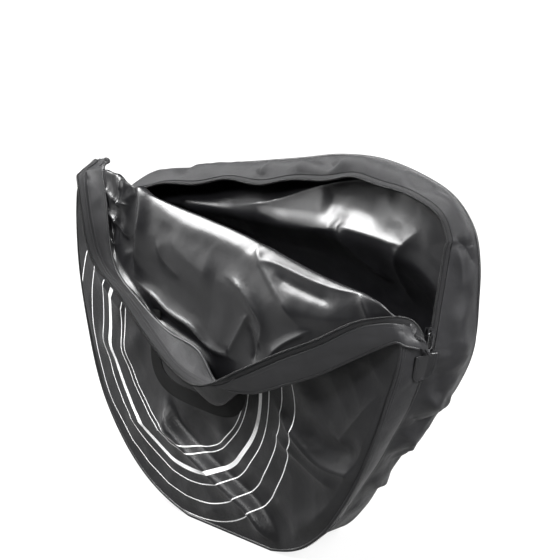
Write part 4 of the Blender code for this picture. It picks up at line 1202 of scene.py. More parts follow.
@dataclass(frozen=True)
class RearPanel:
    """The whole rear panel: round below, its top slumped into the bag with its coated side up."""

    shape: BagShape
    finishes: Finishes
    columns: int = 260
    upper_rows: int = 110
    lower_rows: int = 80
    # how far up the slumped cloth, and how far it leans into the bag there
    slump: tuple = ((0, 0), (0.14, 0.08), (0.3, 0.28), (0.44, 0.43), (0.56, 0.34), (0.78, 0.1), (1, 0))
    folds: tuple = folds_from(
        (((-160, 70), (-60, 100), (40, 150), (140, 190), (230, 195)), 20, 8.5, SHARP),
        (((-80, 75), (22, 92), (80, 104), (123, 112)), 13, 7, SHARP),
        (((110, 116), (190, 122), (280, 125)), 12, 6, SHARP),
        (((115, 125), (150, 85), (230, 50)), 14, 7, SHARP),
        (((60, 135), (120, 150), (220, 150)), 20, -5),
        (((290, 160), (250, 90), (260, 20)), 18, 5, SHARP),
        (((-280, 60), (-180, 40), (-80, 35)), 16, 5, SHARP),
        (((-230, -60), (-120, -120), (-60, -220)), 30, -4.5),
        (((260, -40), (160, -130), (80, -260)), 28, -4.5),
        (((0, 10), (20, -120), (-10, -250)), 30, -3.5),
        (((-330, -100), (-260, -200)), 20, -3, SHARP),
        (((330, -120), (250, -240)), 20, -3, SHARP),
    )

    def lean(self, share: ndarray) -> ndarray:
        """How far the slumped cloth leans into the bag at shares of its height."""
        leans = curve_through([row[0] for row in self.slump], [row[1] for row in self.slump], share.ravel())
        return leans.reshape(share.shape) * self.shape.rear_depth

    def grid(self) -> tuple:
        """The panel's places and its own flat coordinates, rows from its top to its foot."""
        shape = self.shape
        middle = np.array([0.0, shape.rear_y, shape.centre_z])
        edges = []
        for side in (180, -180):
            angles = np.linspace(side - shape.mouth_angle, shape.mouth_angle, self.columns + 1)
            line = shape.rear_edge(angles, shape.piping_radius)
            edges.append(line + asides(line, middle) * shape.piping_radius * 0.5)
        upper, lower = edges
        centre = lower[0] + (lower[-1] - lower[0]) * spread(self.columns)[:, None]
        tall = smooth_step((upper[:, 2] - centre[:, 2]) / shape.slump_fade)
        share = np.linspace(1, 0, self.upper_rows + 1)[:-1, None]
        top = centre[None] + (upper - centre)[None] * share[..., None]
        top[..., 1] -= self.lean(np.broadcast_to(share, top.shape[:2])) * tall[None]
        down = np.linspace(0, 1, self.lower_rows + 1)[:, None]
        foot = centre[None] + (lower - centre)[None] * down[..., None]
        height = foot[..., 2] - shape.centre_z
        reach = np.maximum(1 - (foot[..., 0] ** 2 + height**2) / shape.radius**2, 0.0)
        calm = smooth_step((shape.mouth_height - height) / shape.bulge_fade) * (1 - down**4)
        foot[..., 1] += shape.rear_bulge * reach * calm
        grid = np.concatenate([top, foot])
        eased = grid[..., 1].copy()
        for _ in range(120):
            eased[1:-1] = (eased[:-2] + 2 * eased[1:-1] + eased[2:]) / 4
        near = np.exp(-(((np.arange(len(grid)) - self.upper_rows) / 16) ** 2))[:, None]
        grid[..., 1] = grid[..., 1] * (1 - near) + eased * near
        flat = np.stack([grid[..., 0], grid[..., 2] - shape.centre_z], axis=-1)
        shares = np.concatenate([share, -down])
        edge = smooth_step((1 - np.abs(shares)) / 0.07) * np.ones_like(grid[..., 0])
        lift = folded(self.folds, flat[..., 0], flat[..., 1])
        lift += 0.0024 * noise_at(grid, 0.09, 5.0) + 0.0008 * ridged_at(grid, 0.06, 9.0)
        column = np.arange(self.columns + 1)
        side = np.clip(np.minimum(column, self.columns - column) / 12, 0, 1)
        return grid - grid_normals(grid) * (lift * edge * side[None])[..., None], flat

    def build(self) -> ndarray:
        """Makes the panel and returns its grid."""
        grid, flat = self.grid()
        cloth = (self.shape.wall, self.finishes.woven, self.finishes.coated)
        made = ClothSheet("rear_panel_cloth", grid, flat, *cloth).build()
        dress(made, "shell", "outer_cloth", "rear_panel")
        return grid


@dataclass(frozen=True)
class Gussets:
    """The bands between the panels: the deep rear one, crumpled at its right, and the lower front one."""

    shape: BagShape
    finishes: Finishes
    sewing: Sewing
    ring_steps: int = 300
    rows: int = 34
    ear_rows: int = 26
    ear_inset: float = 0.004
    seam_tape_half: float = 0.0035
    fold_growth: float = 1.5
    # places as the angle round the bag and the share of the way from the zip to the rear seam
    folds: tuple = (
        (((32, 0), (27, 0.4), (19, 1)), 0.012, -0.006, SHARP),
        (((27, 0.1), (22, 0.3), (14, 0.45)), 0.016, 0.004, SHARP),
        (((60, 0.05), (50, 0.5), (44, 0.95)), 0.03, -0.006, SOFT),
        (((12, 0.2), (2, 0.55), (-4, 0.95)), 0.024, 0.005, SOFT),
        (((-2, 0.05), (-7, 0.28), (-13, 0.38)), 0.016, -0.007, SOFT),
        (((-9, 0.1), (-15, 0.5), (-15, 0.95)), 0.014, 0.006, SHARP),
        (((-17, 0.02), (-22, 0.42), (-19, 0.9)), 0.014, -0.007, SHARP),
        (((-24, 0.05), (-28, 0.35), (-36, 0.6)), 0.012, 0.007, SHARP),
        (((-31, 0.1), (-40, 0.4), (-44, 0.95)), 0.02, -0.006, SOFT),
        (((-43, 0.05), (-50, 0.45), (-52, 0.95)), 0.014, 0.006, SHARP),
        (((-58, 0.05), (-61, 0.6)), 0.02, 0.0045, SOFT),
        (((-120, 0.1), (-128, 0.6), (-126, 0.95)), 0.022, 0.005, SOFT),
        (((-143, 0.05), (-150, 0.5), (-158, 0.95)), 0.016, 0.005, SHARP),
        (((-166, 0.1), (-172, 0.8)), 0.018, -0.005, SOFT),
        (((84, 0.1), (92, 0.9)), 0.026, -0.005, SOFT),
        (((112, 0.1), (106, 0.9)), 0.02, 0.004, SHARP),
        (((140, 0.1), (146, 0.9)), 0.02, -0.004, SOFT),
    )

    def band_folds(self) -> list:
        """The folds with their places in metres, round the bag and across the rear gusset."""
        radius, depth = self.shape.radius, self.shape.rear_depth
        return [
            Fold(tuple((math.radians(a) * radius, s * depth) for a, s in places), width, height, form)
            for places, width, height, form in self.folds
        ]

    def rear_grid(self) -> tuple:
        """The rear gusset's places and flat coordinates, rows from the zip to the rear seam and closed."""
        shape = self.shape
        angles = shape.ring_angles(self.ring_steps)
        rims, seams = shape.rear_rim(angles), shape.rear_edge(angles, shape.wall / 2)
        start = rims + asides(rims, seams, True) * self.rim_inset(angles)[:, None]
        end = seams + asides(seams, rims, True) * shape.piping_radius * 0.5
        outward = unit(np.cross(end - start, tangents_of(rims, True)))
        share = np.linspace(0, 1, self.rows + 1)[:, None]
        free = np.sin(math.pi * share) * shape.stand_out_at(angles)[None]
        grid = start[None] + (end - start)[None] * share[..., None]
        lift = folded(self.band_folds(), np.radians(angles)[None] * shape.radius, share * shape.rear_depth)
        lift = self.fold_growth * lift + 0.0042 * noise_at(grid, 0.085, 1.0)
        lift += 0.0026 * ridged_at(grid, 0.055, 4.0)
        lift += 0.0052 * np.exp(-(((angles + 22) / 20) ** 2))[None] * ridged_at(grid, 0.034, 6.0)
        grid = grid + outward[None] * ((shape.rear_gusset_bulge + lift) * free)[..., None]
        grid[..., 2] = np.maximum(grid[..., 2], shape.wall / 2)
        grid = np.concatenate([grid, grid[:, :1]], axis=1)
        return grid, flat_of(run_lengths(np.concatenate([rims, rims[:1]])), share * shape.rear_depth)

    def rim_inset(self, angles: ndarray) -> ndarray:
        """How far the rear gusset's edge lies from the zip: on its tape in the mouth, at the seam below."""
        shape = self.shape
        turned = np.where(angles > -90, angles, -180 - angles)
        share = smooth_step((shape.mouth_angle - turned) / shape.zip_end_angle)
        below = shape.cloth_end * (1 - share) + shape.seam_inset * share
        return np.where(shape.in_mouth(angles), shape.cloth_end, below)

    def front_grid(self) -> tuple:
        """The front gusset's places and flat coordinates, rows from the zip to the front seam."""
        shape = self.shape
        ears = {side: shape.ear_line(side, self.ear_inset, self.ear_rows) for side in (-1, 1)}
        rows, flats = [], []
        for k in range(self.ear_rows + 1):
            share = 1 - k / self.ear_rows
            front, back = shape.front_y + shape.piping_radius * 0.5, shape.zip_y - shape.seam_inset
            level = front + (back - front) * share
            left, right = ears[-1][k], ears[1][k]
            start = -180 - math.degrees(math.asin(left[1] / shape.radius))
            end = math.degrees(math.asin(right[1] / shape.radius))
            angles = np.linspace(start, end, self.ring_steps + 1)
            ear = np.where((angles < -90)[:, None], left[None], right[None])
            below = ear[:, 1] - np.sin(np.radians(angles)) * shape.radius
            y = level + (ear[:, 0] - level) * (1 - smooth_step(below / shape.ear_blend))
            lift = shape.front_gusset_bulge * shape.stand_out_at(angles) * math.sin(math.pi * share)
            rows.append(shape.round_places(angles, shape.band_radius(angles, y) + lift, y, shape.wall / 2))
            around = np.radians(angles) * shape.radius
            flats.append(np.stack([around, np.full_like(angles, share * shape.front_depth)], axis=-1))
        grid = np.array(rows)
        share = np.linspace(0, 1, len(rows))[:, None]
        slack = np.sin(math.pi * share) * shape.stand_out_at(np.linspace(-186, 6, self.ring_steps + 1))[None]
        lift = (0.0018 * noise_at(grid, 0.055, 7.0) + 0.001 * ridged_at(grid, 0.035, 8.0)) * slack
        return grid - grid_normals(grid) * lift[..., None], np.array(flats)

    def build(self) -> None:
        """Makes both gussets, the tape over their seam and the stitched patches over the zip's two ends."""
        shape, finishes = self.shape, self.finishes
        grid, flat = self.rear_grid()
        cloth = (shape.wall, finishes.woven, finishes.coated)
        rear = ClothSheet("rear_gusset_cloth", grid, flat, *cloth, closed=True, turned=True).build()
        dress(rear, "shell", "outer_cloth", "rear_gusset")
        grid, flat = self.front_grid()
        front = ClothSheet("front_gusset_cloth", grid, flat, *cloth).build()
        dress(front, "shell", "outer_cloth", "front_gusset")
        angles = shape.lower_angles(shape.mouth_angle - shape.zip_end_angle, 240)
        tape = []
        for side in (-1, 0, 1):
            radii = shape.edge_radius(angles, 1) + shape.wall * 0.3 - abs(side) * 0.0006
            y = shape.zip_y + side * self.seam_tape_half
            tape.append(shape.round_places(angles, radii, y, shape.wall / 2))
        flat = flat_of(run_lengths(tape[1]), self.seam_tape_half * np.arange(3.0))
        cloth = (shape.tape_wall, finishes.tape, finishes.tape)
        seam = ClothSheet("gusset_seam_binding", np.array(tape), flat, *cloth, turned=True).build()
        dress(seam, "shell", "zip_tape", "gusset_seam_tape")
        for side, label in ((1, "right"), (-1, "left")):
            self.end_patch(side, label)

    def cloth_radius(self, angles: ndarray, y: ndarray) -> ndarray:
        """How far from the panel's centre the outside of the two gussets lies near the zip's ends."""
        shape = self.shape
        share = np.clip((shape.zip_y - y) / shape.front_depth, 0, 1)
        front = shape.band_radius(angles, np.minimum(y, shape.zip_y))
        front += shape.front_gusset_bulge * np.sin(math.pi * share)
        share = np.clip((y - shape.zip_y) / shape.rear_depth, 0, 1)
        rear = shape.edge_radius(angles, 1) * (1 - share) + shape.edge_radius(angles, 2) * share
        rear += shape.rear_gusset_bulge * np.sin(math.pi * share) - shape.wall / 2
        return np.where(y < shape.zip_y, front, rear) + shape.wall / 2

    def end_patch(self, side: int, label: str) -> None:
        """Makes the tongue of cloth sewn over one end of the zip, with two rows of stitches round it.

        Args:
            side: 1 for the bag's right, -1 for its left.
            label: The same in words, as in the CAD node's name.
        """
        shape = self.shape
        start, end, half = shape.mouth_angle - 0.9, -6.6, 0.02
        middle = shape.zip_y - 0.006

        def places(turns: ndarray, shares: ndarray, raised: float) -> ndarray:
            y = middle + half * shares * np.sqrt(np.clip(1 - turns**5, 0.0, 1.0))
            angles = start + (end - start) * turns
            angles = angles if side > 0 else -180 - angles
            return shape.round_places(angles, self.cloth_radius(angles, y) + raised, y, 0.0)

        turns, shares = np.meshgrid(np.linspace(0, 0.995, 25), np.linspace(-1, 1, 21), indexing="ij")
        grid = places(turns, shares, 0.0026)
        flat = np.stack([turns * 0.055, shares * half], axis=-1)
        cloth = (0.0012, self.finishes.woven, self.finishes.coated)
        made = ClothSheet(f"zip_end_patch_{label}_cloth", grid, flat, *cloth, turned=side < 0).build()
        dress(made, "shell", "outer_cloth", f"zip_end_patch_{label}")
        rows = []
        for inset in (0.9, 0.76):
            round_end = np.linspace(-1, 1, 61)
            turns = np.clip(1 - np.abs(round_end) ** 6, 0, 1) * 0.97 * inset**0.4
            shares = np.sign(round_end) * inset * np.abs(round_end) ** 0.45
            rows.append(even_line(places(turns, shares, 0.0036), 0.002))
        self.sewing.stitches(f"zip_end_patch_{label}_stitches", rows, "shell", Sewing.BOX_PITCH)


@dataclass(frozen=True)
class Pipings:
    """The corded seams round the front and rear panels, with a row of stitches beside the front one."""

    shape: BagShape
    finishes: Finishes
    sewing: Sewing

    def build(self) -> None:
        """Makes both."""
        shape = self.shape
        line = shape.front_piping_line(460)
        front = add_tube("front_piping_cord", line, shape.piping_radius, self.finishes.piping)
        dress(front, "shell", "piping", "front_piping")
        angles = shape.ring_angles(280)
        line = shape.rear_edge(angles, shape.piping_radius)
        rear = add_tube("rear_piping_cord", line, shape.piping_radius, self.finishes.piping, closed=True)
        dress(rear, "shell", "piping", "rear_piping")
        angles = shape.lower_angles(shape.fold_angle - 1.0, 300)
        y = np.full_like(angles, shape.front_y + 0.0065)
        line = shape.round_places(angles, shape.band_radius(angles, y) + 0.0022, y, 0.001)
        self.sewing.stitches("front_piping_stitches", [even_line(line, 0.002)], "shell")


@dataclass(frozen=True)
class RearZip:
    """The rear half of the zip on its tape, which runs from the right foot of the mouth over to its left."""

    shape: BagShape
    finishes: Finishes
    sewing: Sewing
    steps: int = 320

    def build(self) -> None:
        """Makes the tape, the coil and the double row of stitches that holds the tape to the gusset."""
        shape = self.shape
        angles = np.linspace(shape.mouth_angle, 180 - shape.mouth_angle, self.steps + 1)
        rims, seams = shape.rear_rim(angles), shape.rear_edge(angles, shape.wall / 2)
        side = asides(rims, seams)
        outward = unit(np.cross(seams - rims, tangents_of(rims)))
        reaches = np.array([0.0012, 0.005, shape.tape_end])
        sunk = outward * 0.0006
        grid = np.array([rims + side * reach - sunk * (reach > 0.006) for reach in reaches])
        cloth = (shape.tape_wall, self.finishes.tape, self.finishes.tape)
        flat = flat_of(run_lengths(rims), reaches)
        tape = ClothSheet("rear_zip_tape_cloth", grid, flat, *cloth, turned=True).build()
        dress(tape, "shell", "zip_tape", "rear_zip_tape")
        cord = add_tube("rear_zip_cord", rims, shape.zip_cord_radius, self.finishes.coil, sides=6)
        dress(cord, "shell", "zip_coil", "rear_zip_coil")
        turns = self.sewing.coil("rear_zip_coil_turns", even_line(rims, 0.004))
        dress(turns, "shell", "zip_coil")
        rows = [rims + side * reach + outward * 0.0016 for reach in shape.stitch_rows]
        self.sewing.stitches("rear_zip_stitches", [even_line(row, 0.002) for row in rows], "shell")


@dataclass(frozen=True)
class FlapLines:
    """The lines of the folded flap, from its fold over its ridge and down to its seam, and its zip rim.

    The rows run from the bag's right to its left: x, stand-out and height in thousandths of the radius.
    Their ends turn back over the lower front, where the rim and the seam go on to the ends of the zip.
    """

    shape: BagShape
    fold_x: tuple = (963, 850, 650, 450, 255, 80, -112, -300, -500, -700, -880)
    ridge: tuple = (
        (980, -4, 168), (955, 18, 185), (870, 34, 222), (640, 40, 228), (440, 45, 240), (250, 47, 257),
        (75, 45, 268), (-112, 45, 270), (-300, 45, 268), (-500, 40, 268), (-695, 32, 285), (-800, 10, 272),
        (-830, -20, 285),
    )
    shoulder: tuple = (
        (985, 0, 155), (963, 20, 155), (853, 55, 150), (650, 103, 120), (450, 126, 110), (265, 130, 100),
        (90, 128, 100), (-95, 122, 110), (-285, 108, 130), (-485, 80, 150), (-682, 46, 180),
        (-790, 12, 240), (-830, -20, 280),
    )
    belly: tuple = (
        (988, 0, 132), (962, 20, 130), (850, 57, 98), (650, 107, 50), (458, 136, 15), (280, 148, -60),
        (108, 150, -140), (-70, 144, -130), (-258, 124, -60), (-465, 86, 50), (-670, 45, 100),
        (-780, 14, 220), (-830, -20, 277),
    )
    lobe: tuple = (
        (990, 0, 112), (962, 21, 108), (842, 62, 55), (651, 113, -5), (468, 146, -60), (292, 162, -165),
        (118, 164, -350), (-50, 158, -325), (-242, 134, -215), (-458, 94, -50), (-661, 50, 35),
        (-770, 18, 205), (-825, -15, 275),
    )
    pouch: tuple = (
        (992, 0, 92), (961, 22, 92), (832, 72, 20), (653, 125, -65), (480, 162, -135), (308, 186, -235),
        (132, 200, -360), (-25, 192, -335), (-222, 162, -245), (-446, 106, -110), (-650, 62, -10),
        (-755, 28, 190), (-820, -10, 272),
    )
    seam_places: tuple = (
        (995, 0, 70), (961, 22, 77), (825, 80, -4), (655, 134, -110), (488, 172, -192), (318, 202, -265),
        (150, 222, -270), (15, 205, -180), (-205, 174, -172), (-430, 130, -125), (-635, 86, -45),
        (-742, 40, 172), (-809, 0, 272),
    )
    rim_places: tuple = (
        (985, 0, 180), (963, 56, 187.5), (855, 122, 153), (675, 175, 40), (500, 210, -55), (325, 245, -160),
        (137, 290, -268), (-40, 275, -268), (-245, 244, -195), (-470, 198, -100), (-705, 152, -5),
        (-900, 50, 205), (-945, 0, 216),
    )
    right_rim_end: tuple = ((1012.5, -118, 12), (1011.5, -94, 34), (1009, -78, 105), (990, -55, 150))
    right_seam_end: tuple = ((1012.5, -119, 4), (1022, -98, 18), (1028, -75, 44), (1009, -32.5, 58.8))
    left_rim_end: tuple = (
        (-959, -58, 232), (-966, -92.5, 240), (-980, -118, 185), (-988, -124, 90), (-985, -125, 25),
    )
    left_seam_end: tuple = (
        (-850, -60, 275), (-905, -85, 260), (-955, -112, 180), (-980, -121, 85), (-985, -122, 22),
    )

    # where the cloth ends past the fold line, along the tops of the front gusset's two ends
    right_fold_end: tuple = ((1004, -115, 10), (1002, -94, 40), (996, -72.5, 122), (990, -40, 147))
    left_fold_end: tuple = (
        (-966, -12, 149), (-971, -32, 186), (-975, -77, 203), (-983, -114, 90), (-985, -122, 22),
    )

    def place(self, shares: Sequence[float]) -> ndarray:
        """A place on the flap from its x, stand-out and height in thousandths of the radius."""
        x, out, height = (share / 1000 * self.shape.radius for share in shares)
        return np.array([x, self.shape.front_y - out, self.shape.centre_z + height])

    def knots(self) -> ndarray:
        """The ribs' parameters, spaced by the rim's lengths so that no line swings round its short parts."""
        rim = [self.place(row) for row in self.right_rim_end + self.rim_places + self.left_rim_end]
        return np.concatenate([[0.0], np.cumsum(np.sqrt(np.linalg.norm(np.diff(rim, axis=0), axis=1)))])

    def line(self, table: Sequence, steps: int) -> ndarray:
        """A smooth line across the flap through one row of its ribs, from right to left."""
        knots = self.knots()
        return curve_through(knots, [self.place(row) for row in table], np.linspace(0, knots[-1], steps + 1))

    def panel_lines(self, steps: int) -> ndarray:
        """The seven lines of the flap's panel, from fold to seam, which start clear of the slider's run."""
        height = 1000 * self.shape.fold_height / self.shape.radius
        fold = ((975, -20, height), *((x, 0, height) for x in self.fold_x), (-900, -10, height))
        tables = (fold, self.ridge, self.shoulder, self.belly, self.lobe, self.pouch, self.seam_places)
        lines = []
        knots = self.knots()
        first = math.ceil(knots[2] / knots[-1] * steps)
        for k, table in enumerate(tables):
            right, left = (
                np.array(fold_end) * (1 - k / 6) + np.array(seam_end) * k / 6
                for fold_end, seam_end in (
                    (self.right_fold_end, self.right_seam_end), (self.left_fold_end, self.left_seam_end)
                )
            )
            lines.append(self.line([*right, *table, *left], steps)[first:])
        return np.array(lines)

    def whole_rim(self, steps: int) -> ndarray:
        """The zip edge of the front half, from the right end of the zip round the flap to its left end."""
        return self.line(self.right_rim_end + self.rim_places + self.left_rim_end, steps)

    def whole_seam(self, steps: int) -> ndarray:
        """The lower edge of the band that carries the rim."""
        return self.line(self.right_seam_end + self.seam_places + self.left_seam_end, steps)


@dataclass(frozen=True)
class Flap:
    """The upper half of the front panel, folded out and down: glossy inside out, with its half of the zip."""

    shape: BagShape
    finishes: Finishes
    sewing: Sewing
    columns: int = 400
    rows: int = 180
    band_rows: int = 26
    folds: tuple = folds_from(
        (((-200, 124), (-90, 134), (30, 134), (110, 137)), 15, 3),
        (((70, 112), (104, 136), (150, 156), (225, 192)), 15, 6.2, SHARP),
        (((85, 134), (140, 120), (230, 110), (345, 92)), 8, 4, SHARP),
        (((130, 140), (190, 134), (280, 125)), 9, -3.4),
        (((20, 178), (80, 188), (126, 212), (132, 240), (120, 262)), 11, 6.6, SHARP),
        (((50, 305), (75, 260), (102, 212)), 8, 5, SHARP),
        (((90, 225), (112, 250), (118, 290)), 7, -4, SHARP),
        (((150, 265), (185, 225), (240, 180)), 9, 5.2, SHARP),
        (((215, 250), (255, 205), (305, 150)), 10, 4.4, SHARP),
        (((310, 90), (345, 130), (355, 170)), 8, 4, SHARP),
        (((-215, 252), (-150, 258), (-100, 273), (-40, 283), (10, 303), (90, 298)), 6, 7, SHARP),
        (((-220, 272), (-100, 297), (-30, 308), (30, 328)), 11, -9),
        (((-180, 205), (-60, 238), (40, 256)), 30, -5),
        (((-235, 105), (-206, 130), (-200, 175), (-212, 250)), 5, -6.8, STEP),
        (((-225, 110), (-200, 140), (-196, 180), (-205, 245)), 7, 4.5, SHARP),
        (((-262, 110), (-250, 150), (-262, 200)), 5, 7, SHARP),
        (((-300, 135), (-268, 150), (-230, 146)), 5, 6, SHARP),
        (((-295, 175), (-255, 182), (-225, 200)), 5, 5, SHARP),
        (((-120, 150), (-60, 180), (10, 200)), 25, 3),
        (((-150, 170), (-120, 200), (-70, 215)), 8, 2.6, SHARP),
    )
    # two depths in front of the middle of the bag
    blend_start: float = -0.045
    blend_end: float = -0.088

    def share(self, made: Object, slot: str, *nodes: str) -> None:
        """Bakes a piece's place into its mesh and hides the CAD nodes that it stands in for; it rides on no
        body.
        """
        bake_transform(made)
        label_piece(made, slot, *nodes)

    def panel_grid(self, lines: ndarray) -> tuple:
        """The panel's places, rows from fold to seam, its flat coordinates and its rows' parameters."""
        at = np.linspace(0, 6, self.rows + 1)
        grid = np.array([curve_through(range(7), lines[:, k], at) for k in range(lines.shape[1])])
        grid = grid.transpose(1, 0, 2)
        grid[-1] = lines[6] + asides(lines[6], grid[-5]) * self.shape.piping_radius * 0.4
        steps = np.cumsum(np.linalg.norm(np.diff(grid, axis=0), axis=2), axis=0)
        lengths = np.concatenate([np.zeros((1, grid.shape[1])), steps])
        return grid, np.stack([grid[..., 0], self.shape.fold_height + lengths], axis=-1), at

    def ruffle(self, grid: ndarray, flat: ndarray, at: ndarray) -> ndarray:
        """The panel's places with its folds and the crumples of coated cloth."""
        edge = smooth_step(at / 0.5) * smooth_step((6 - at) / 0.35)
        lift = folded(self.folds, flat[..., 0], flat[..., 1])
        crumpled = np.exp(-(((flat[..., 0] + 0.265) / 0.045) ** 2))
        crumpled = crumpled * smooth_step((0.26 - flat[..., 1]) / 0.04)
        lift += (0.001 + 0.002 * crumpled) * noise_at(grid, 0.11, 11.0)
        lift += (0.0002 + 0.0034 * crumpled) * ridged_at(grid, 0.034, 13.0)
        column = np.arange(grid.shape[1])
        ends = np.minimum(column, grid.shape[1] - 1 - column) / 18
        lift = lift * edge[:, None] * np.clip(ends, 0, 1)[None]
        return grid + grid_normals(grid) * lift[..., None]

    def build(self) -> ndarray:
        """Makes the panel, the band, their corded seam and the zip, and returns the panel's grid."""
        shape, finishes = self.shape, self.finishes
        source = FlapLines(shape)
        grid, flat, at = self.panel_grid(source.panel_lines(self.columns))
        grid = self.ruffle(grid, flat, at)
        cloth = (shape.wall, finishes.printed, finishes.coated)
        panel = ClothSheet("flap_panel_cloth", grid, flat, *cloth, turned=True).build()
        self.share(panel, "panel_cloth", "flap_panel")
        seam, rim = source.whole_seam(self.columns), source.whole_rim(self.columns)
        self.band(seam, rim)
        self.zip(seam, rim)
        return grid[:, 90:-90]

    def band(self, seam: ndarray, rim: ndarray) -> None:
        """The gusset between the flap's seam and its rim, which narrows to both ends of the zip."""
        shape, finishes = self.shape, self.finishes
        gap = np.linalg.norm(rim - seam, axis=1)
        start = seam + asides(seam, rim) * np.minimum(shape.piping_radius * 0.4, gap * 0.1)[:, None]
        end = rim + asides(rim, seam) * np.minimum(shape.cloth_end, gap * 0.35)[:, None]
        outward = softened(unit(np.cross(tangents_of(seam), end - start)), 8)
        tall = np.linalg.norm(end - start, axis=1)
        share = np.linspace(0, 1, self.band_rows + 1)[:, None]
        strip = start[None] + (end - start)[None] * share[..., None]
        strip = strip - outward[None] * (0.08 * tall[None] * np.sin(math.pi * share))[..., None]
        lift = 0.0024 * noise_at(strip, 0.06, 17.0) + 0.0014 * ridged_at(strip, 0.034, 19.0)
        lift *= np.sin(math.pi * share) * np.clip(tall / 0.03, 0, 1)[None]
        strip = strip + grid_normals(strip) * lift[..., None]
        flat = flat_of(run_lengths(rim), share * shape.front_depth)
        cloth = (shape.wall, finishes.woven, finishes.lining)
        made = ClothSheet("flap_gusset_cloth", strip, flat, *cloth).build()
        self.share(made, "outer_cloth", "flap_gusset")

    def zip(self, seam: ndarray, rim: ndarray) -> None:
        """The tape and the coil along the rim, their stitches, and the cord in the seam below."""
        shape, finishes, sewing = self.shape, self.finishes, self.sewing
        to_seam = softened(asides(rim, seam), 6)
        outward = softened(unit(np.cross(tangents_of(seam), rim - seam)), 8)
        gap = np.linalg.norm(rim - seam, axis=1)
        reaches = np.array([[0.0012], [0.005], [shape.tape_end]])
        reaches = np.minimum(reaches, gap[None] * np.array([[0.1], [0.3], [0.6]]))
        raised = np.where(reaches > 0.006, 0.0012, 0.0)
        tape_grid = rim[None] + to_seam[None] * reaches[..., None] + outward[None] * raised[..., None]
        flat = flat_of(run_lengths(rim), np.array([0.0, 0.005, 0.0145]))
        cloth = (shape.tape_wall, finishes.tape, finishes.tape)
        tape = ClothSheet("flap_zip_tape_cloth", tape_grid, flat, *cloth, turned=True).build()
        self.share(tape, "zip_tape", "flap_zip_tape", "ear_zip_tape_left", "ear_zip_tape_right")
        cord = add_tube("flap_zip_cord", rim, shape.zip_cord_radius, finishes.coil, sides=6)
        self.share(cord, "zip_coil", "flap_zip_coil", "ear_zip_coil_left", "ear_zip_coil_right")
        self.share(sewing.coil("flap_zip_coil_turns", even_line(rim, 0.004)), "zip_coil")
        path = even_line(seam[30:-30], 0.003)
        piping = add_tube("flap_piping_cord", path, shape.piping_radius, finishes.piping)
        self.share(piping, "piping", "flap_piping")
        rows = []
        for reach in shape.stitch_rows:
            row = rim + to_seam * np.minimum(reach, gap * 0.6)[:, None]
            rows += [even_line(row + outward * side * 0.0018, 0.002)[4:-4] for side in (-1, 1)]
        self.share(sewing.stitches("flap_zip_stitches", rows, ""), "zip_tape")


@dataclass(frozen=True)
class Strap:
    """A length of webbing along a path: flat, with rounded edges."""

    name: str
    path: ndarray
    across: ndarray
    width: float
    walls: ndarray
    finish: Material

    def build(self) -> Object:
        """Makes the webbing's closed shell."""
        across = unit(self.across)
        out = unit(np.cross(tangents_of(self.path), across))
        half = self.width / 2
        top = [(-0.97, 0.75), (-0.85, 1.0), (-0.3, 0.93), (0.3, 0.93), (0.85, 1.0), (0.97, 0.75)]
        a, b = np.array([(-1, 0.0), *top, (1, 0.0), *((x, -y) for x, y in reversed(top))]).T
        lifts = out[:, None] * b[:, None] * self.walls[:, None, None] / 2
        rings = self.path[:, None] + across[:, None] * a[:, None] * half + lifts
        uv = (run_lengths(self.path), a * half + np.where(b < 0, 0.1, 0.0))
        return ring_mesh(self.name, rings, uv, self.finish, turned=True)


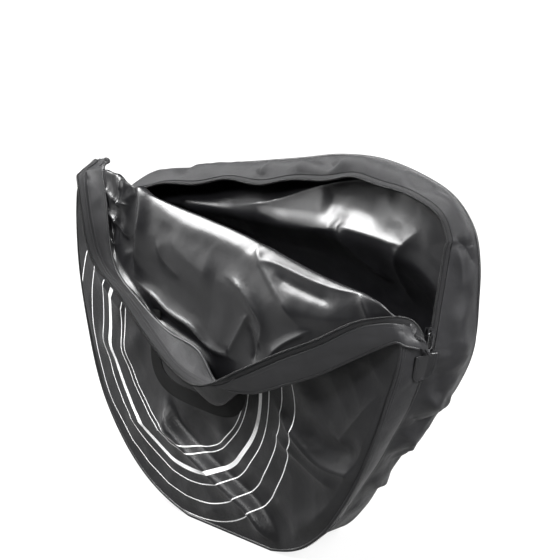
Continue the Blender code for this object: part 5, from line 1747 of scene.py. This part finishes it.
@dataclass(frozen=True)
class Handle:
    """A carry handle: a loop of webbing between two tabs that are box-stitched to the cloth."""

    name: str
    body: str
    tab_body: str
    finishes: Finishes
    sewing: Sewing
    width: float = 0.025
    wall: float = 0.0018
    drop: float = 0.07
    squareness: float = 0.55
    gap: float = 0.00047
    tab_gap: float = 0.0006
    taper: float = 0.01
    edge_wall: float = 0.00014
    steps: int = 120

    def build(
        self, left: ndarray, right: ndarray, cloth: ndarray, rows: Sequence[float], wall: float
    ) -> None:
        """Makes the loop and both tabs.

        Args:
            left: The left pivot.
            right: The right pivot.
            cloth: The grid of the cloth that the tabs are sewn to.
            rows: The rows of that grid that they are sewn along, from the top.
            wall: The cloth's thickness.
        """
        axis = unit(right - left)
        self.loop(left, right, axis)
        for label, pivot in (("left", left), ("right", right)):
            self.tab(label, pivot, axis, cloth, rows, wall)

    def walls(self, from_end: ndarray) -> ndarray:
        """The webbing's thickness at distances from an end, where it thins to turn on its tab."""
        return self.edge_wall + (self.wall - self.edge_wall) * np.clip(from_end / self.taper, 0, 1)

    def loop(self, left: ndarray, right: ndarray, axis: ndarray) -> None:
        """Makes the loop that hangs between its two pivots."""
        down = -np.cross(axis, Y_AXIS)
        turn = math.pi * np.linspace(0, 1, self.steps + 1)
        across = -np.sign(np.cos(turn)) * np.abs(np.cos(turn)) ** self.squareness
        fall = self.gap + (self.drop - self.gap) * np.maximum(np.sin(turn), 0.0) ** self.squareness
        aside = across * np.linalg.norm(right - left) / 2
        path = (left + right) / 2 + axis * aside[:, None] + down * fall[:, None]
        path = even_line(path, 0.002)
        wide = np.cross(np.broadcast_to(Y_AXIS, path.shape), tangents_of(path))
        lengths = run_lengths(path)
        walls = self.walls(np.minimum(lengths, lengths[-1] - lengths))
        made = Strap(f"{self.name}_webbing", path, wide, self.width, walls, self.finishes.webbing).build()
        dress(made, self.body, "webbing", self.name)

    def tab(
        self, label: str, pivot: ndarray, axis: ndarray, cloth: ndarray, rows: Sequence, wall: float
    ) -> None:
        """Makes one tab, from where it is sewn down to its pivot."""
        half = self.width / 2
        down = -np.cross(axis, Y_AXIS)
        path, wide = [], []
        for row in rows:
            low, high = on_grid(cloth, row, pivot[0] - half), on_grid(cloth, row, pivot[0] + half)
            ahead = on_grid(cloth, row + 0.5, pivot[0]) - on_grid(cloth, row, pivot[0])
            normal = unit(np.cross(ahead, high - low))
            normal = normal if normal[1] > 0 else -normal
            path.append((low + high) / 2 + normal * (wall / 2 + self.tab_gap + self.wall / 2))
            wide.append(unit(high - low))
        path += [pivot - down * 0.01, pivot - down * self.gap]
        wide += [axis, axis]
        at = np.linspace(0, len(path) - 1, 40)
        path, wide = (curve_through(range(len(values)), values, at) for values in (path, wide))
        lengths = run_lengths(path)
        walls = self.walls(lengths[-1] - lengths)
        name = f"{self.name}_tab_{label}"
        made = Strap(f"{name}_webbing", path, wide, self.width, walls, self.finishes.webbing).build()
        dress(made, self.tab_body, "webbing", name)
        out = unit(np.cross(tangents_of(path), wide))
        out = out * np.where(out[:, 1:2] > 0, 1.0, -1.0)
        sewn, edge = slice(1, 19), half * 0.78
        face = path + out * self.wall * 0.56
        sides = [(face + wide * turn * edge)[sewn] for turn in (-1, 1)]
        one, two = sides
        share = np.linspace(0, 1, len(one))[:, None]
        box = [one, two, np.array([one[0], two[0]]), np.array([one[-1], two[-1]])]
        box += [one * (1 - share) + two * share, two * (1 - share) + one * share]
        rows_sewn = [even_line(line, 0.0015) for line in box]
        self.sewing.stitches(f"{name}_stitches", rows_sewn, self.tab_body, Sewing.BOX_PITCH)


class Studio:
    """The pale floor and backdrop, the soft lights and the camera."""

    # the camera's turn and rise in degrees, the view's width in metres, and how far right and up it is moved
    ANGLES = (51.0, 20.0)
    VIEW_WIDTH = 560 / 662
    VIEW_SHIFT = (0.0634, 0.0196)

    def __init__(self, shape: BagShape) -> None:
        """Makes them.

        Args:
            shape: The bag's sizes, for where the camera looks.
        """
        self.shape = shape
        self._camera()
        self._floor()
        self._world()
        self._lights()

    def _camera(self) -> None:
        """An upright camera at the photograph's angle, far enough away to flatten the view."""
        turn, rise = np.radians(self.ANGLES)
        right = np.array([math.cos(turn), math.sin(turn), 0.0])
        ahead = np.array([-math.sin(turn), math.cos(turn), 0.0])
        up = ahead * math.sin(rise) + np.array([0.0, 0.0, math.cos(rise)])
        away = -ahead * math.cos(rise) + np.array([0.0, 0.0, math.sin(rise)])
        target = np.array([0.0, self.shape.front_y, self.shape.centre_z])
        target = target + right * self.VIEW_SHIFT[0] + up * self.VIEW_SHIFT[1]
        data = bpy.data.cameras.new("camera")
        data.type = "ORTHO"
        data.ortho_scale = self.VIEW_WIDTH
        data.clip_end = 30.0
        camera = new_object("camera", data)
        camera.location = Vector(target + away * 6.0)
        camera.rotation_euler = Vector(-away).to_track_quat("-Z", "Y").to_euler()
        bpy.context.scene.camera = camera

    @staticmethod
    def _floor() -> None:
        """A floor that the camera sees as nearly plain white, with the bag's soft shadow on it."""
        mesh = bpy.data.meshes.new("floor")
        mesh.from_pydata([(-6, -6, 0), (6, -6, 0), (6, 6, 0), (-6, 6, 0)], [], [(0, 1, 2, 3)])
        floor = new_object("floor", mesh)
        made, tree, shader = fresh_material("white_floor_paper")
        rays = add_node(tree, "ShaderNodeLightPath", {}).outputs
        clear = {0: rays["Is Camera Ray"], 1: rays["Is Transmission Ray"]}
        seen = add_node(tree, MATH, clear, operation="MAXIMUM")
        tones = {0: seen, 6: linear("#626262"), 7: linear("#f4f4f4")}
        tone = add_node(tree, MIX, tones, data_type="RGBA").outputs[2]
        set_inputs(tree, shader, {"Roughness": 0.9, "Base Color": tone})
        glow = add_node(tree, "ShaderNodeEmission", {"Color": (1, 1, 1, 1), "Strength": 1.0})
        share = add_node(tree, MATH, {0: seen, 1: 0.84}, operation="MULTIPLY")
        mixed = add_node(tree, "ShaderNodeMixShader", {0: share, 1: shader, 2: glow})
        set_inputs(tree, tree.nodes["Material Output"], {"Surface": mixed})
        mesh.materials.append(made)

    @staticmethod
    def _world() -> None:
        """A world that is white behind the bag and dim as a light, so that the gloss keeps its contrast."""
        world = bpy.data.worlds.new("studio_world")
        bpy.context.scene.world = world
        world.use_nodes = True
        tree = world.node_tree
        dim = tree.nodes["Background"]
        set_inputs(tree, dim, {"Color": (1, 1, 1, 1), "Strength": 0.05})
        plain = add_node(tree, "ShaderNodeBackground", {"Color": (1, 1, 1, 1), "Strength": 1.0})
        rays = add_node(tree, "ShaderNodeLightPath", {}).outputs
        mixed = add_node(tree, "ShaderNodeMixShader", {0: rays["Is Camera Ray"], 1: dim, 2: plain})
        set_inputs(tree, tree.nodes["World Output"], {"Surface": mixed})

    @staticmethod
    def _lights() -> None:
        """Soft boxes overhead, at the camera's left and right, and a low one behind the bag."""
        plan = (
            ("key_softbox", (-2.4, -1.0, 2.4), (0.0, -0.05, 0.45), 1.8, 1.5, 215.0),
            ("left_softbox", (-2.6, -1.6, 0.9), (-0.1, -0.1, 0.35), 1.6, 1.4, 16.0),
            ("front_softbox", (0.7, -2.2, 2.7), (0.0, -0.1, 0.3), 0.6, 0.6, 92.0),
            ("right_softbox", (2.4, 0.1, 1.4), (0.2, 0.0, 0.4), 0.8, 1.4, 105.0),
            ("overhead_softbox", (0.1, 0.3, 2.6), (0.0, 0.0, 0.45), 1.4, 0.9, 50.0),
            ("rear_softbox", (0.2, 2.6, 1.6), (0.0, 0.05, 0.4), 1.6, 1.0, 60.0),
        )
        for name, place, target, width, depth, power in plan:
            data = bpy.data.lights.new(name, "AREA")
            data.shape = "RECTANGLE"
            data.size, data.size_y, data.energy = width, depth, power
            lamp = new_object(name, data)
            lamp.location = place
            lamp.rotation_euler = (Vector(target) - Vector(place)).to_track_quat("-Z", "Y").to_euler()


def finish_metal(finishes: Finishes) -> None:
    """Gives the small metal parts, which keep their CAD meshes, rounded edges and real finishes."""
    for name, finish, edge in (
        ("slider_body", finishes.metal, 0.00035),
        ("pull_loop", finishes.bright_metal, 0.0002),
        ("zip_bottom_stop", finishes.bright_metal, 0.0004),
    ):
        node = bpy.data.objects[name]
        node.data.materials.clear()
        node.data.materials.append(finish)
        rounded = node.modifiers.new("rounded_edges", "BEVEL")
        rounded.width, rounded.segments = edge, 2
        LOG.info("%s", name)


def main() -> None:
    """Builds the bag's parts in order."""
    logging.basicConfig(level=logging.INFO, format="%(name)s %(message)s")
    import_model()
    bpy.context.scene.view_settings.view_transform = "Standard"
    shape, finishes = BagShape(), Finishes()
    sewing = Sewing(finishes)
    Studio(shape)
    FrontPanel(shape, finishes).build()
    rear_panel = RearPanel(shape, finishes)
    rear_cloth = rear_panel.build()
    Gussets(shape, finishes, sewing).build()
    Pipings(shape, finishes, sewing).build()
    RearZip(shape, finishes, sewing).build()
    flap = Flap(shape, finishes, sewing)
    flap_cloth = flap.build()
    reach = 0.204 / 2
    middle = FlapLines(shape).place((-105, 107.5, -262.5))
    rows = [row * flap.rows / 6 for row in (2.8, 3.0, 3.36)]
    front = Handle("front_handle", "front_handle", "flap", finishes, sewing)
    front.build(middle - X_AXIS * reach, middle + X_AXIS * reach, flap_cloth, rows, shape.wall)
    pivots = []
    for turn in (-1, 1):
        x = 0.06 + turn * reach
        height = on_grid(rear_cloth, 0, x)[2] - 0.045
        pivots.append(np.array([x, shape.rear_y + 0.006, height]))
    rows = [share * rear_panel.upper_rows for share in (0.072, 0.132)]
    rear = Handle("rear_handle", "rear_handle", "shell", finishes, sewing)
    rear.build(*pivots, rear_cloth, rows, shape.wall)
    finish_metal(finishes)


if __name__ == "__main__":
    main()
